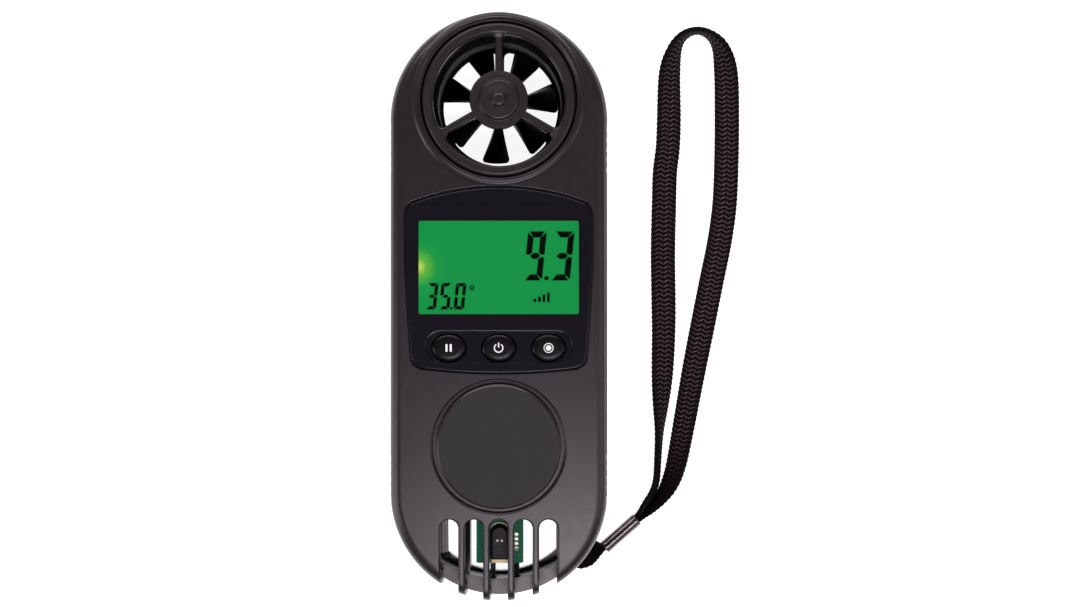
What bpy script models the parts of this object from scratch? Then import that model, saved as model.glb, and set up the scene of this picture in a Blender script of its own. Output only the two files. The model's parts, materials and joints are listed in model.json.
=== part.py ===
"""Handheld weather meter with a spinning vane, a lit display, three buttons and a wrist strap.

Frame: the meter lies on its back, +Z out of the display, +Y towards the vane, +X to the right.
The origin is the middle of the back face of the body. Sizes are in millimetres, turned into metres
by MM where the meshes are made.
"""

import math

import bmesh
import bpy
from mathutils import Matrix, Vector

MM = 0.001

# Driving dimensions of the body.
LENGTH = 120.0
WIDTH = 44.0
THICKNESS = 20.0
WALL = 1.8
END_RADIUS = WIDTH / 2
END_Y = LENGTH / 2 - END_RADIUS
FACE_Z = 19.5
SPLIT_Z = 8.0
PART_GAP = 0.3
ARC_STEPS = 20
COVER_CAVITY_Z = 17.4

# Vane pod.
VANE_Y = 41.1
COLLAR_IN = 15.8
COLLAR_OUT = 17.2
RING_OUT = 15.3
DUCT_IN = 13.15
DUCT_THROAT = 12.6
REAR_BORE = 11.9
REAR_HUB = 4.2
HUB_DISC = 5.84
ARM_HALF = 0.72
ARM_ANGLES = (90.0, 210.0, 330.0)
DUCT_Z = (2.1, 17.3)
GUARD_Z = (17.6, 19.6)
BLADE_COUNT = 7
BLADE_PHASE = 8.5
BLADE_TIP = 11.9
SHAFT_R = 0.5

# Window and display.
PANEL_Z = (18.2, 19.3)
POCKET_Z = 18.1
LCD_X = 15.9
LCD_Y = (-1.55, 17.0)
PCB_Z = (10.2, 11.2)

# Keypad.
KEY_Y = -8.2
KEY_PITCH = 9.9
KEY_HALF = (3.3, 2.7)
KEY_NAMES = ("hold_button", "power_button", "record_button")
KEY_BOWL_Z = 18.9

# Label disc and battery, on one axis.
DISC_Y = -27.8
DISC_R = 12.4
DISC_POCKET_R = 13.4
CELL_R = 10.0
COVER_R = 11.9

# Sensor grille at the lower end.
RIB_HALF = 0.65
RIB_PITCH = 4.92
SLOT_TOP_Y = -42.3
SLOT_HALF = RIB_PITCH / 2 - RIB_HALF
SLOT_COUNT = 5
VENT_R = 17.3
END_WALL_R = 17.9
VENT_X = 11.6
VENT_TOP_Y = -43.4

# Fasteners.
SCREW_SPOTS = ((-17.2, 22.6), (17.2, 22.6), (-16.4, -43.2), (16.4, -43.2))
BOSS_R = 2.3

# Wrist strap.
STRAP_R = 1.3
STRAP_Z = 1.4
FERRULE_FAR = (28.5, -44.5)
FERRULE_NEAR = (21.7, -50.5)
STRAP_EYE = (16.6, -51.1)
STRAP_STEP = 4.4
STRAP_ROUTE = (
    (29.0, -43.3), (31.1, -39.6), (32.2, -36.0), (32.9, -30.2), (33.4, -23.9), (33.8, -17.6),
    (34.0, -11.3), (34.1, 1.2), (34.0, 11.3), (34.3, 21.1), (34.5, 29.9), (34.9, 39.4),
    (35.3, 48.6), (36.4, 53.6), (38.3, 56.4), (41.1, 57.5), (43.9, 56.4), (46.0, 53.6),
    (47.1, 48.6), (47.4, 39.4), (47.3, 29.9), (46.9, 21.1), (45.8, 13.2), (44.2, 5.4),
    (42.4, -3.4), (40.8, -11.7), (39.7, -18.0), (38.5, -24.5), (36.9, -33.1), (35.0, -39.0),
    (32.4, -43.0), (30.0, -44.8),
)


def clear_scene():
    for item in list(bpy.data.objects):
        bpy.data.objects.remove(item, do_unlink=True)


def material(name, colour, roughness, metallic=0.0):
    made = bpy.data.materials.new(name)
    made.use_nodes = True
    shader = made.node_tree.nodes["Principled BSDF"]
    shader.inputs["Base Color"].default_value = (*colour, 1.0)
    shader.inputs["Roughness"].default_value = roughness
    shader.inputs["Metallic"].default_value = metallic
    made.diffuse_color = (*colour, 1.0)
    return made


def add_object(name, mesh_builder, paint, origin=(0, 0, 0), smooth=True):
    """An object named name from a bmesh in millimetres, with its origin at the given point."""
    offset = Vector(origin)
    bmesh.ops.transform(mesh_builder, matrix=Matrix.Translation(-offset), verts=mesh_builder.verts)
    bmesh.ops.scale(mesh_builder, vec=(MM, MM, MM), verts=mesh_builder.verts)
    bmesh.ops.recalc_face_normals(mesh_builder, faces=mesh_builder.faces)
    data = bpy.data.meshes.new(name)
    mesh_builder.to_mesh(data)
    mesh_builder.free()
    item = bpy.data.objects.new(name, data)
    item.location = offset * MM
    bpy.context.scene.collection.objects.link(item)
    if smooth:
        data.shade_smooth()
        data.set_sharp_from_angle(angle=math.radians(35))
    if paint:
        data.materials.append(paint)
    return item


def hide_cutter(item):
    item.hide_render = True
    item.display_type = "WIRE"
    return item


def boolean(item, other, operation="DIFFERENCE"):
    modifier = item.modifiers.new(operation.title() + "_" + other.name, "BOOLEAN")
    modifier.operation = operation
    modifier.solver = "EXACT"
    modifier.object = hide_cutter(other)


# Outlines, as lists of (x, y) running counter-clockwise.


def circle(radius, centre=(0, 0), steps=32):
    turns = [2 * math.pi * i / steps for i in range(steps)]
    return [(centre[0] + radius * math.cos(t), centre[1] + radius * math.sin(t)) for t in turns]


def ellipse(half_x, half_y, centre=(0, 0), steps=24):
    turns = [2 * math.pi * i / steps for i in range(steps)]
    return [(centre[0] + half_x * math.cos(t), centre[1] + half_y * math.sin(t)) for t in turns]


def body_outline(inset=0.0, shorter=0.0, steps=ARC_STEPS):
    """The stadium seen from the front, moved inwards by inset all round and by shorter as well at its ends."""
    radius = END_RADIUS - inset
    points = []
    for end, start in ((END_Y - shorter, 0.0), (shorter - END_Y, math.pi)):
        for i in range(steps + 1):
            turn = start + math.pi * i / steps
            points.append((radius * math.cos(turn), end + radius * math.sin(turn)))
    return points


def rounded(corners, steps=5):
    """A polygon from (x, y, radius) corners, each rounded by an arc of its radius."""
    points = []
    count = len(corners)
    for i, (x, y, radius) in enumerate(corners):
        here = Vector((x, y))
        back = (Vector(corners[i - 1][:2]) - here).normalized()
        ahead = (Vector(corners[(i + 1) % count][:2]) - here).normalized()
        half = back.angle(ahead) / 2
        reach = radius / math.tan(half)
        centre = here + (back + ahead).normalized() * (radius / math.sin(half))
        first = here + back * reach - centre
        turn = math.pi - 2 * half
        for k in range(steps + 1):
            angle = turn * k / steps
            c, s = math.cos(angle), math.sin(angle)
            points.append((centre.x + first.x * c - first.y * s, centre.y + first.x * s + first.y * c))
    return points


def rounded_box(half_x, y_low, y_high, radius, steps=4):
    return rounded(
        [(half_x, y_low, radius), (half_x, y_high, radius), (-half_x, y_high, radius), (-half_x, y_low, radius)],
        steps,
    )


def window_outline(grow=0.0):
    """The display panel: sides that narrow downwards, a crowned top and a slightly bowed foot."""
    return rounded(
        [
            (0.0, -13.7 - grow, 120.0),
            (17.2 + grow, -12.1 - grow, 3.0),
            (18.5 + grow, 8.0, 60.0),
            (18.5 + grow, 20.0 + grow, 2.6),
            (0.0, 26.6 + grow, 49.0),
            (-18.5 - grow, 20.0 + grow, 2.6),
            (-18.5 - grow, 8.0, 60.0),
            (-17.2 - grow, -12.1 - grow, 3.0),
        ],
        6,
    )


def sector(inner, outer, start, end, half_arm, steps=10):
    """The opening between two straight arms of half width half_arm, between two radii."""
    points = []
    for radius, order in ((inner, 1), (outer, -1)):
        lean = math.asin(half_arm / radius)
        a = math.radians(start) + lean
        b = math.radians(end) - lean
        turns = [a + (b - a) * i / steps for i in range(steps + 1)]
        points += [(radius * math.cos(t), VANE_Y + radius * math.sin(t)) for t in turns[::order]]
    return points[::-1]


# Solids.


def stack(layers):
    """A closed solid through outlines of equal count, given as (z, outline) pairs from bottom to top."""
    built = bmesh.new()
    rings = [[built.verts.new((x, y, z)) for x, y in outline] for z, outline in layers]
    count = len(rings[0])
    for low, high in zip(rings, rings[1:]):
        for i in range(count):
            j = (i + 1) % count
            built.faces.new((low[i], low[j], high[j], high[i]))
    built.faces.new(rings[0][::-1])
    built.faces.new(rings[-1])
    return built


def prism(outline, low, high):
    return stack([(low, outline), (high, outline)])


def block(x, y, z):
    outline = [(x[0], y[0]), (x[1], y[0]), (x[1], y[1]), (x[0], y[1])]
    return prism(outline, z[0], z[1])


def turned(profile, centre=(0, 0), steps=48):
    """A solid turned about a vertical axis from a profile of (radius, z) points.

    A profile that starts and ends on the axis makes a solid body, any other a ring.
    """
    built = bmesh.new()
    on_axis = profile[0][0] == 0
    rings = []
    for radius, z in profile:
        if radius == 0:
            rings.append([built.verts.new((centre[0], centre[1], z))])
            continue
        rings.append([built.verts.new((x, y, z)) for x, y in circle(radius, centre, steps)])
    pairs = list(zip(rings, rings[1:]))
    if not on_axis:
        pairs.append((rings[-1], rings[0]))
    for one, two in pairs:
        for i in range(steps):
            j = (i + 1) % steps
            loop = [one[i % len(one)], one[j % len(one)], two[j % len(two)], two[i % len(two)]]
            built.faces.new(list(dict.fromkeys(loop)))
    return built


def strip(profile, x_low, x_high):
    """A bent sheet: a closed profile of (y, z) points drawn out along X."""
    built = bmesh.new()
    ends = [[built.verts.new((x, y, z)) for y, z in profile] for x in (x_low, x_high)]
    count = len(profile)
    for i in range(count):
        j = (i + 1) % count
        built.faces.new((ends[0][i], ends[0][j], ends[1][j], ends[1][i]))
    built.faces.new(ends[0][::-1])
    built.faces.new(ends[1])
    return built


def joined(solids):
    """Several closed solids in one bmesh, for use as a single cutter."""
    whole = bmesh.new()
    for solid in solids:
        data = bpy.data.meshes.new("piece")
        solid.to_mesh(data)
        solid.free()
        whole.from_mesh(data)
        bpy.data.meshes.remove(data)
    return whole


def cutter(name, solids):
    return add_object(name, joined(solids), None, smooth=False)


# The two shells.


def grip_cutter():
    """Five finger grooves on each side, near the vane and again near the sensor end."""
    pitch = 2.05
    solids = []
    for side in (-1, 1):
        for middle in (31.5, -34.4):
            for i in range(5):
                spot = (side * (END_RADIUS + 0.28), middle + (i - 2) * pitch)
                solids.append(prism(circle(0.98, spot, 10), 1.8, 18.0))
    return cutter("cut_grips", solids)


def slot_centres():
    return [(i - (SLOT_COUNT - 1) / 2) * RIB_PITCH for i in range(SLOT_COUNT)]


def slot_cutter():
    """The grille's slots: round at the top and open at the body's end."""
    solids = []
    for x in slot_centres():
        top = [(x + SLOT_HALF * math.cos(t), SLOT_TOP_Y - SLOT_HALF + SLOT_HALF * math.sin(t))
               for t in [math.pi * i / 10 for i in range(11)]]
        outline = top + [(x - SLOT_HALF, -LENGTH / 2 - 2), (x + SLOT_HALF, -LENGTH / 2 - 2)]
        solids.append(prism(outline, SPLIT_Z - 2, THICKNESS + 2))
    return cutter("cut_slots", solids)


def slot_step_cutter():
    """Sets the rear shell's end wall back behind each slot, so that the ribs stand proud."""
    solids = []
    for x in slot_centres():
        points = []
        for radius, order in ((END_RADIUS - 0.9, 1), (END_RADIUS + 3, -1)):
            spots = [x + SLOT_HALF * k / 3 for k in range(-3, 4)]
            points += [(px, -END_Y - math.sqrt(radius ** 2 - px ** 2)) for px in spots[::order]]
        solids.append(prism(points[::-1], -1.0, SPLIT_Z + 2))
    return cutter("cut_slot_steps", solids)


def front_shell(paint, grips):
    # Height, then how far the outline moves in all round and at its ends: the mould's draft, then the rounded edge.
    outer = [
        (SPLIT_Z + PART_GAP / 2, 0.0, 0.0), (17.2, 0.35, 0.9), (18.2, 0.65, 0.95), (18.95, 1.25, 1.0),
        (19.35, 2.0, 1.05), (FACE_Z, 2.8, 1.1),
    ]
    shell = add_object("front_shell", stack([(z, body_outline(*moved)) for z, *moved in outer]), paint)
    low = SPLIT_Z - 1
    inner = [(low, WALL, 0.3), (COVER_CAVITY_Z - 1.2, WALL + 0.1, 0.9), (COVER_CAVITY_Z, WALL + 1.4, 1.0)]
    cavity = [stack([(z, body_outline(*moved)) for z, *moved in inner])]
    boolean(shell, cutter("cut_front_cavity", cavity))
    collar = [
        (COLLAR_OUT, 18.4), (COLLAR_OUT, 19.45), (COLLAR_OUT - 0.35, 19.85), (COLLAR_OUT - 0.95, THICKNESS),
        (COLLAR_IN + 0.15, 19.8), (COLLAR_IN - 0.6, 19.2), (COLLAR_IN - 0.6, 18.4),
    ]
    boolean(shell, cutter("add_collar", [turned(collar, (0, VANE_Y))]), "UNION")
    bosses = [prism(circle(BOSS_R, spot, 16), SPLIT_Z + 1.2, COVER_CAVITY_Z + 0.4) for spot in SCREW_SPOTS]
    boolean(shell, cutter("add_front_bosses", bosses), "UNION")
    holes = [
        prism(circle(RING_OUT + PART_GAP, (0, VANE_Y), 48), low, THICKNESS + 2),
        prism(window_outline(PART_GAP), POCKET_Z, THICKNESS + 2),
        turned([(0, 18.7), (DISC_POCKET_R - 0.4, 18.7), (DISC_POCKET_R, 19.0), (DISC_POCKET_R + 0.2, 21), (0, 21)],
               (0, DISC_Y)),
    ]
    holes += [prism(circle(1.1, spot, 10), low, 16.2) for spot in SCREW_SPOTS]
    boolean(shell, cutter("cut_front_holes", holes))
    panes = [
        prism(rounded_box(LCD_X + 0.5, LCD_Y[0] - 0.5, LCD_Y[1] + 0.5, 0.8), low, THICKNESS),
        prism(rounded_box(13.9, KEY_Y - 3.1, KEY_Y + 3.1, 3.0, 5), low, THICKNESS),
    ]
    boolean(shell, cutter("cut_front_panes", panes))
    boolean(shell, slot_cutter())
    boolean(shell, grips)
    return shell


def rear_cavity():
    """The room inside the rear shell, which stops short of the thick wall at the sensor end."""
    points = []
    wide = END_RADIUS - WALL
    for i in range(ARC_STEPS + 1):
        turn = math.pi * i / ARC_STEPS
        points.append((wide * math.cos(turn), END_Y + wide * math.sin(turn)))
    for i in range(ARC_STEPS + 1):
        turn = math.pi * (1 + i / ARC_STEPS)
        points.append((wide * math.cos(turn), -END_Y + END_WALL_R * math.sin(turn)))
    return prism(points, WALL, SPLIT_Z + 2)


def vent_outline():
    """The opening behind the grille, with a lower edge that follows the body's end."""
    points = [(VENT_X, VENT_TOP_Y), (-VENT_X, VENT_TOP_Y)]
    reach = math.acos(VENT_X / VENT_R)
    for i in range(13):
        turn = math.pi + reach + (math.pi - 2 * reach) * i / 12
        points.append((VENT_R * math.cos(turn), -END_Y + VENT_R * math.sin(turn)))
    return points


def lanyard_pocket():
    """A notch in the back's lower right edge, left standing around a post."""
    middle = Vector((STRAP_EYE[0], STRAP_EYE[1]))
    away = (middle - Vector((0, -END_Y))).normalized()
    across = Vector((-away.y, away.x))
    reach = ((-2.6, -3.9), (7.0, -3.9), (7.0, 3.9), (-2.6, 3.9))
    outline = [tuple(middle + away * u + across * v) for u, v in reach]
    return outline, middle


def rear_shell(paint, grips):
    top = SPLIT_Z - PART_GAP / 2
    outer = [(0.0, 3.0), (0.25, 1.9), (0.9, 0.9), (1.9, 0.25), (3.0, 0.0), (top, 0.0)]
    shell = add_object("rear_shell", stack([(z, body_outline(inset)) for z, inset in outer]), paint)
    boolean(shell, cutter("cut_rear_cavity", [rear_cavity()]))
    extras = [prism(circle(BOSS_R, spot, 16), 1.2, SPLIT_Z + 0.9) for spot in SCREW_SPOTS]
    wall = [(14.7, 1.2), (14.7, 6.1), (13.6, 6.1), (13.6, 1.2)]
    extras.append(turned(wall, (0, DISC_Y), 40))
    boolean(shell, cutter("add_rear_bosses", extras), "UNION")
    ribs = [
        block((-7.1, -6.0), (-54.8, VENT_TOP_Y + 1.5), (0.8, 7.4)),
        block((-2.0, -1.0), (-56.5, -50.6), (0.8, 7.0)),
        block((2.9, 3.9), (-56.5, -50.6), (0.8, 7.0)),
    ]
    vent = cutter("cut_vent", [prism(vent_outline(), -1, WALL + 1)])
    boolean(shell, vent)
    boolean(shell, cutter("add_rear_ribs", ribs), "UNION")
    bore = [(0, -1), (2.0, -1), (2.0, 1.5), (1.1, 1.5), (1.1, SPLIT_Z + 2), (0, SPLIT_Z + 2)]
    holes = [turned(bore, spot, 16) for spot in SCREW_SPOTS]
    holes.append(prism(circle(REAR_BORE, (0, VANE_Y), 48), -1, WALL + 1))
    boolean(shell, cutter("cut_rear_holes", holes))
    boolean(shell, cutter("cut_cover_hole", [turned([(0, -1), (COVER_R + 0.3, -1), (COVER_R + 0.3, 3), (0, 3)],
                                                   (0, DISC_Y), 40)]))
    notches = []
    for turn in (40.0, 220.0):
        notches.append(prism(lug_outline(turn, 13.4, 17.0), -1, 3))
    boolean(shell, cutter("cut_lug_notches", notches))
    outline, middle = lanyard_pocket()
    pocket = cutter("cut_pocket", [prism(outline, -1, 4.4)])
    boolean(pocket, cutter("keep_post", [prism(circle(1.3, tuple(middle), 16), -2, 5.4)]))
    boolean(shell, pocket)
    boolean(shell, slot_step_cutter())
    boolean(shell, grips)
    return shell


# The vane.


def arm_openings(inner, outer, low, high):
    solids = []
    for angle in ARM_ANGLES:
        outline = sector(inner, outer, angle, angle + 120, ARM_HALF)
        solids.append(prism(outline, low, high))
    return solids


def vane_guard(paint):
    low, high = GUARD_Z
    profile = [
        (0, 20.0), (1.1, 20.0), (1.55, 19.75), (1.6, 19.75 - 0.2), (3.7, 19.75 - 0.2), (3.9, 19.4),
        (3.95, 19.1), (HUB_DISC + 0.5, 19.1), (HUB_DISC + 1.5, 19.1), (12.6, 19.1), (13.3, high),
        (RING_OUT - 0.3, high), (RING_OUT, high - 0.3),
        (RING_OUT, low), (3.0, low), (3.0, 13.0), (1.7, 13.0), (1.7, 16.6), (0, 16.6),
    ]
    guard = add_object("vane_guard", turned(profile, (0, VANE_Y)), paint)
    boolean(guard, cutter("cut_guard", arm_openings(HUB_DISC, DUCT_IN, low - 1, high + 1)))
    return guard


def vane_duct(paint):
    low, high = DUCT_Z
    profile = [
        (0, 3.7), (1.7, 3.7), (1.7, 5.4), (3.0, 5.4), (3.0, 3.7), (DUCT_THROAT, 3.7), (DUCT_THROAT, 11.5),
        (DUCT_IN + 0.45, 11.9), (DUCT_IN + 0.45, high), (RING_OUT, high), (RING_OUT, low), (0, low),
    ]
    duct = add_object("vane_duct", turned(profile, (0, VANE_Y)), paint)
    boolean(duct, cutter("cut_duct", arm_openings(REAR_HUB, REAR_BORE, low - 1, 3.7 + 0.2)))
    return duct


def blade(angle):
    """One twisted blade, steep at the hub and flat at the tip, as a closed thin solid."""
    built = bmesh.new()
    rings = []
    stations = 6
    for i in range(stations):
        share = i / (stations - 1)
        radius = 3.2 + (BLADE_TIP - 3.2) * share
        chord = 3.0 + 3.1 * share
        pitch = math.radians(62 - 34 * share)
        thick = 0.55 - 0.15 * share
        ring = []
        for u, v in ((-0.5, -0.5), (0.5, -0.5), (0.5, 0.5), (-0.5, 0.5)):
            along = u * chord
            off = v * thick
            y = along * math.cos(pitch) - off * math.sin(pitch)
            z = along * math.sin(pitch) + off * math.cos(pitch)
            ring.append(built.verts.new((radius, y, 7.8 + z)))
        rings.append(ring)
    for low, high in zip(rings, rings[1:]):
        for i in range(4):
            j = (i + 1) % 4
            built.faces.new((low[i], low[j], high[j], high[i]))
    built.faces.new(rings[0][::-1])
    built.faces.new(rings[-1])
    bmesh.ops.recalc_face_normals(built, faces=built.faces)
    turn = Matrix.Translation((0, VANE_Y, 0)) @ Matrix.Rotation(math.radians(angle), 4, "Z")
    bmesh.ops.transform(built, matrix=turn, verts=built.verts)
    return built


def impeller(paint):
    axis = (0, VANE_Y, 0)
    profile = [(0.8, 5.8), (4.2, 5.8), (4.6, 6.2), (4.6, 9.4), (4.2, 9.8), (0.8, 9.8)]
    wheel = add_object("impeller", turned(profile, (0, VANE_Y), 28), paint, axis)
    for i in range(BLADE_COUNT):
        angle = BLADE_PHASE + 360.0 * i / BLADE_COUNT
        boolean(wheel, cutter(f"add_blade_{i + 1}", [blade(angle)]), "UNION")
    return wheel


def vane_bearings_and_shaft(steel, jewel, magnet_paint, chip_paint):
    axis = (0, VANE_Y, 0)
    centre = (0, VANE_Y)
    add_object("impeller_shaft", prism(circle(SHAFT_R, centre, 12), 4.0, 14.6), steel, axis)
    for name, low in (("rear_bearing", 4.0), ("front_bearing", 13.3)):
        ring = [(0.58, low), (1.5, low), (1.5, low + 1.2), (0.58, low + 1.2)]
        add_object(name, turned(ring, centre, 16), jewel)
    ring = [(0.8, 10.1), (3.4, 10.1), (3.4, 11.5), (0.8, 11.5)]
    add_object("rotor_magnet", turned(ring, centre, 24), magnet_paint, axis)
    spot = math.radians(210)
    x = 4.5 * math.cos(spot)
    y = VANE_Y + 4.5 * math.sin(spot)
    add_object("vane_pickup", block((x - 1.0, x + 1.0), (y - 0.8, y + 0.8), (16.1, 17.3)), chip_paint)


# The display and keypad.


def window_panel(paint):
    low, high = PANEL_Z
    layers = [(low, window_outline()), (high - 0.2, window_outline()), (high, window_outline(-0.2))]
    panel = add_object("window_panel", stack(layers), paint)
    cuts = [prism(rounded_box(14.4, KEY_Y - 3.0, KEY_Y + 3.2, 3.05, 6), KEY_BOWL_Z, high + 1)]
    boolean(panel, cutter("cut_key_bowl", cuts))
    half_x, half_y = KEY_HALF
    holes = []
    for x in key_centres():
        outline = ellipse(half_x + 0.2, half_y + 0.2, (x, KEY_Y))
        holes.append(prism(outline, low - 1, high + 1))
    boolean(panel, cutter("cut_key_holes", holes))
    return panel


def key_centres():
    return [(i - 1) * KEY_PITCH for i in range(3)]


def buttons(paint):
    half_x, half_y = KEY_HALF
    for name, x in zip(KEY_NAMES, key_centres()):
        centre = (x, KEY_Y)
        sizes = [(14.7, 0.45, 0.05), (15.6, 0.45, 0.05), (15.6, 0.0, 0.0), (19.3, 0.0, 0.0), (19.6, -0.35, -0.3),
                 (19.75, -1.1, -0.9)]
        layers = [(z, ellipse(half_x + a, half_y + b, centre)) for z, a, b in sizes]
        add_object(name, stack(layers), paint, (x, KEY_Y, 14.7))


def display_parts(paints):
    frame = add_object("lcd_frame", prism(rounded_box(18.3, -5.2, 19.3, 0.8), 11.5, 16.95), paints["black"])
    boolean(frame, cutter("cut_frame", [prism(rounded_box(17.3, -3.9, 18.5, 0.4), 10, 18)]))
    glass = rounded_box(17.0, -3.6, 18.2, 0.4)
    add_object("lcd_glass", prism(glass, 15.3, 17.0), paints["lcd"])
    light = rounded_box(15.7, -3.4, 15.5, 0.4)
    add_object("backlight_diffuser", prism(light, 12.6, 15.0), paints["diffuser"])
    add_object("backlight_led", block((-17.0, -16.1), (6.6, 9.0), (12.8, 14.6)), paints["amber"])
    add_object("zebra_strip", block((-15.5, 15.5), (15.9, 17.9), (11.5, 15.0)), paints["rubber"])


def circuit(paints):
    low, high = PCB_Z
    add_object("main_pcb", prism(rounded_box(18.5, -15.0, 19.4, 0.8), low, high), paints["board"])
    add_object("microcontroller", block((-5, 5), (-1, 9), (8.5, 9.9)), paints["chip"])
    add_object("crystal", block((8.0, 12.6), (2.0, 4.0), (8.6, 9.9)), paints["steel"])
    pad = rounded_box(14.1, KEY_Y - 2.5, KEY_Y + 2.5, 2.3, 5)
    add_object("keypad_membrane", prism(pad, 12.15, 14.1), paints["rubber"])
    for name, x in zip(KEY_NAMES, key_centres()):
        dome = [(0, 11.5), (2.2, 11.5), (2.2, 11.6), (1.2, 11.82), (0, 11.88)]
        add_object(name.replace("button", "dome"), turned(dome, (x, KEY_Y), 16), paints["steel"])


def label_disc(paint):
    layers = [
        (18.95, circle(DISC_R, (0, DISC_Y), 48)), (19.45, circle(DISC_R, (0, DISC_Y), 48)),
        (19.6, circle(DISC_R - 0.3, (0, DISC_Y), 48)),
    ]
    add_object("label_disc", stack(layers), paint)


# The sensors behind the grille.


def sensors(paints):
    board = add_object("sensor_pcb", prism(rounded_box(4.8, -52.4, -40.0, 0.4), 8.6, 9.6), paints["board"])
    holes = [prism(circle(0.4, (3.3, -47.0 - 1.25 * i), 8), 8, 10) for i in range(4)]
    boolean(board, cutter("cut_sensor_holes", holes))
    chip = rounded_box(1.9, -51.4, -45.6, 0.9)
    add_object("humidity_sensor", prism(chip, 9.75, 11.6), paints["chip"])
    for name, x in (("thermistor_lead_left", -11.25), ("thermistor_lead_right", -10.35)):
        outline = circle(0.3, (0, 0), 8)
        wire = bmesh.new()
        rings = []
        for y, z in ((-39.5, 10.2), (-44.0, 10.2), (-49.6, 9.4)):
            rings.append([wire.verts.new((x + u, y, z + v)) for u, v in outline])
        for one, two in zip(rings, rings[1:]):
            for i in range(8):
                j = (i + 1) % 8
                wire.faces.new((one[i], one[j], two[j], two[i]))
        wire.faces.new(rings[0][::-1])
        wire.faces.new(rings[-1])
        add_object(name, wire, paints["wire"])
    bead = [(0, -0.7), (0.5, -0.5), (0.75, 0.0), (0.5, 0.5), (0, 0.7)]
    tip = turned([(r, z + 9.4) for r, z in bead], (-10.8, -50.65), 12)
    add_object("thermistor_bead", tip, paints["bead"])
    lead = [(-40.0, 9.9), (-40.0, 9.75), (-14.0, 9.55), (-14.0, 9.75), (-38.5, 9.95)]
    add_object("sensor_ribbon", strip(lead, -4.0, 4.0), paints["wire"])


# The battery.


def lug_outline(turn, inner, spread):
    """A bayonet lug, a short arc of material beyond the cover's edge."""
    points = []
    for radius, order in ((COVER_R - 1.2, 1), (inner, -1)):
        turns = [math.radians(turn + spread * k / 4) for k in range(-2, 3)]
        points += [(radius * math.cos(t), DISC_Y + radius * math.sin(t)) for t in turns[::order]]
    return points[::-1]


def battery(paints):
    axis = (0, DISC_Y, 0)
    centre = (0, DISC_Y)
    profile = [(0, 0.2), (COVER_R - 0.3, 0.2), (COVER_R, 0.5), (COVER_R, 2.9), (COVER_R - 1.6, 2.9),
               (COVER_R - 1.6, 2.0), (0, 2.0)]
    cover = add_object("battery_cover", turned(profile, centre, 40), paints["shell"], axis)
    for turn in (0.0, 180.0):
        lug = prism(lug_outline(turn, 13.0, 12.0), 2.1, 2.9)
        boolean(cover, cutter(f"add_lug_{int(turn)}", [lug]), "UNION")
    slot = prism(rounded_box(5.5, DISC_Y - 0.9, DISC_Y + 0.9, 0.8), -1, 1.1)
    boolean(cover, cutter("cut_coin_slot", [slot]))
    cell = [(0, 3.2), (8.6, 3.2), (8.9, 3.4), (CELL_R, 3.4), (CELL_R, 6.2), (0, 6.2)]
    add_object("coin_cell", turned(cell, centre, 36), paints["steel"])
    spring = [(-33.5, 6.5), (-24.0, 6.4), (-12.0, 6.4), (-12.0, 9.9), (-12.3, 9.9), (-12.3, 6.7), (-24.0, 6.7),
              (-33.5, 6.8)]
    add_object("negative_contact", strip(spring, -2.0, 2.0), paints["brass"])
    side = [(-18.7, 3.4), (-18.7, 6.7), (-12.0, 6.7), (-12.0, 9.9), (-11.7, 9.9), (-11.7, 6.4), (-18.4, 6.4),
            (-18.4, 3.4)]
    add_object("positive_contact", strip(side, 5.2, 8.2), paints["brass"])


def case_screws(paint):
    for i, spot in enumerate(SCREW_SPOTS):
        profile = [(0, 0.35), (1.5, 0.35), (1.7, 0.6), (1.7, 1.2), (0.8, 1.2), (0.8, 15.2), (0, 15.7)]
        screw = add_object(f"case_screw_{i + 1}", turned(profile, spot, 12), paint)
        arms = [block((spot[0] - a, spot[0] + a), (spot[1] - b, spot[1] + b), (-1, 0.85))
                for a, b in ((0.9, 0.22), (0.22, 0.9))]
        for k, arm in enumerate(arms):
            boolean(screw, cutter(f"cut_cross_{i + 1}_{k + 1}", [arm]))


# The wrist strap.


def smooth_route(points, step):
    """Points at even spacing along a Catmull-Rom curve through the given ones."""
    ends = [points[0]] + list(points) + [points[-1]]
    fine = []
    for a, b, c, d in zip(ends, ends[1:], ends[2:], ends[3:]):
        for k in range(12):
            t = k / 12
            fine.append(tuple(
                0.5 * (2 * q + (r - p) * t + (2 * p - 5 * q + 4 * r - s) * t * t + (3 * q - p - 3 * r + s) * t ** 3)
                for p, q, r, s in zip(a, b, c, d)
            ))
    fine.append(tuple(points[-1]))
    runs = [0.0]
    for one, two in zip(fine, fine[1:]):
        runs.append(runs[-1] + math.dist(one, two))
    count = round(runs[-1] / step)
    spaced = []
    k = 0
    for i in range(count + 1):
        want = runs[-1] * i / count
        while k < len(runs) - 2 and runs[k + 1] < want:
            k += 1
        share = (want - runs[k]) / (runs[k + 1] - runs[k])
        spaced.append(tuple(p + (q - p) * share for p, q in zip(fine[k], fine[k + 1])))
    return spaced


def tube(name, points, radii, depth, paint):
    data = bpy.data.curves.new(name, "CURVE")
    data.dimensions = "3D"
    data.bevel_depth = depth * MM
    data.bevel_resolution = 2
    data.use_fill_caps = True
    line = data.splines.new("POLY")
    line.points.add(len(points) - 1)
    for spot, place, radius in zip(line.points, points, radii):
        spot.co = (place[0] * MM, place[1] * MM, place[2] * MM, 1.0)
        spot.radius = radius
    data.materials.append(paint)
    item = bpy.data.objects.new(name, data)
    bpy.context.scene.collection.objects.link(item)
    return item


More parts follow.
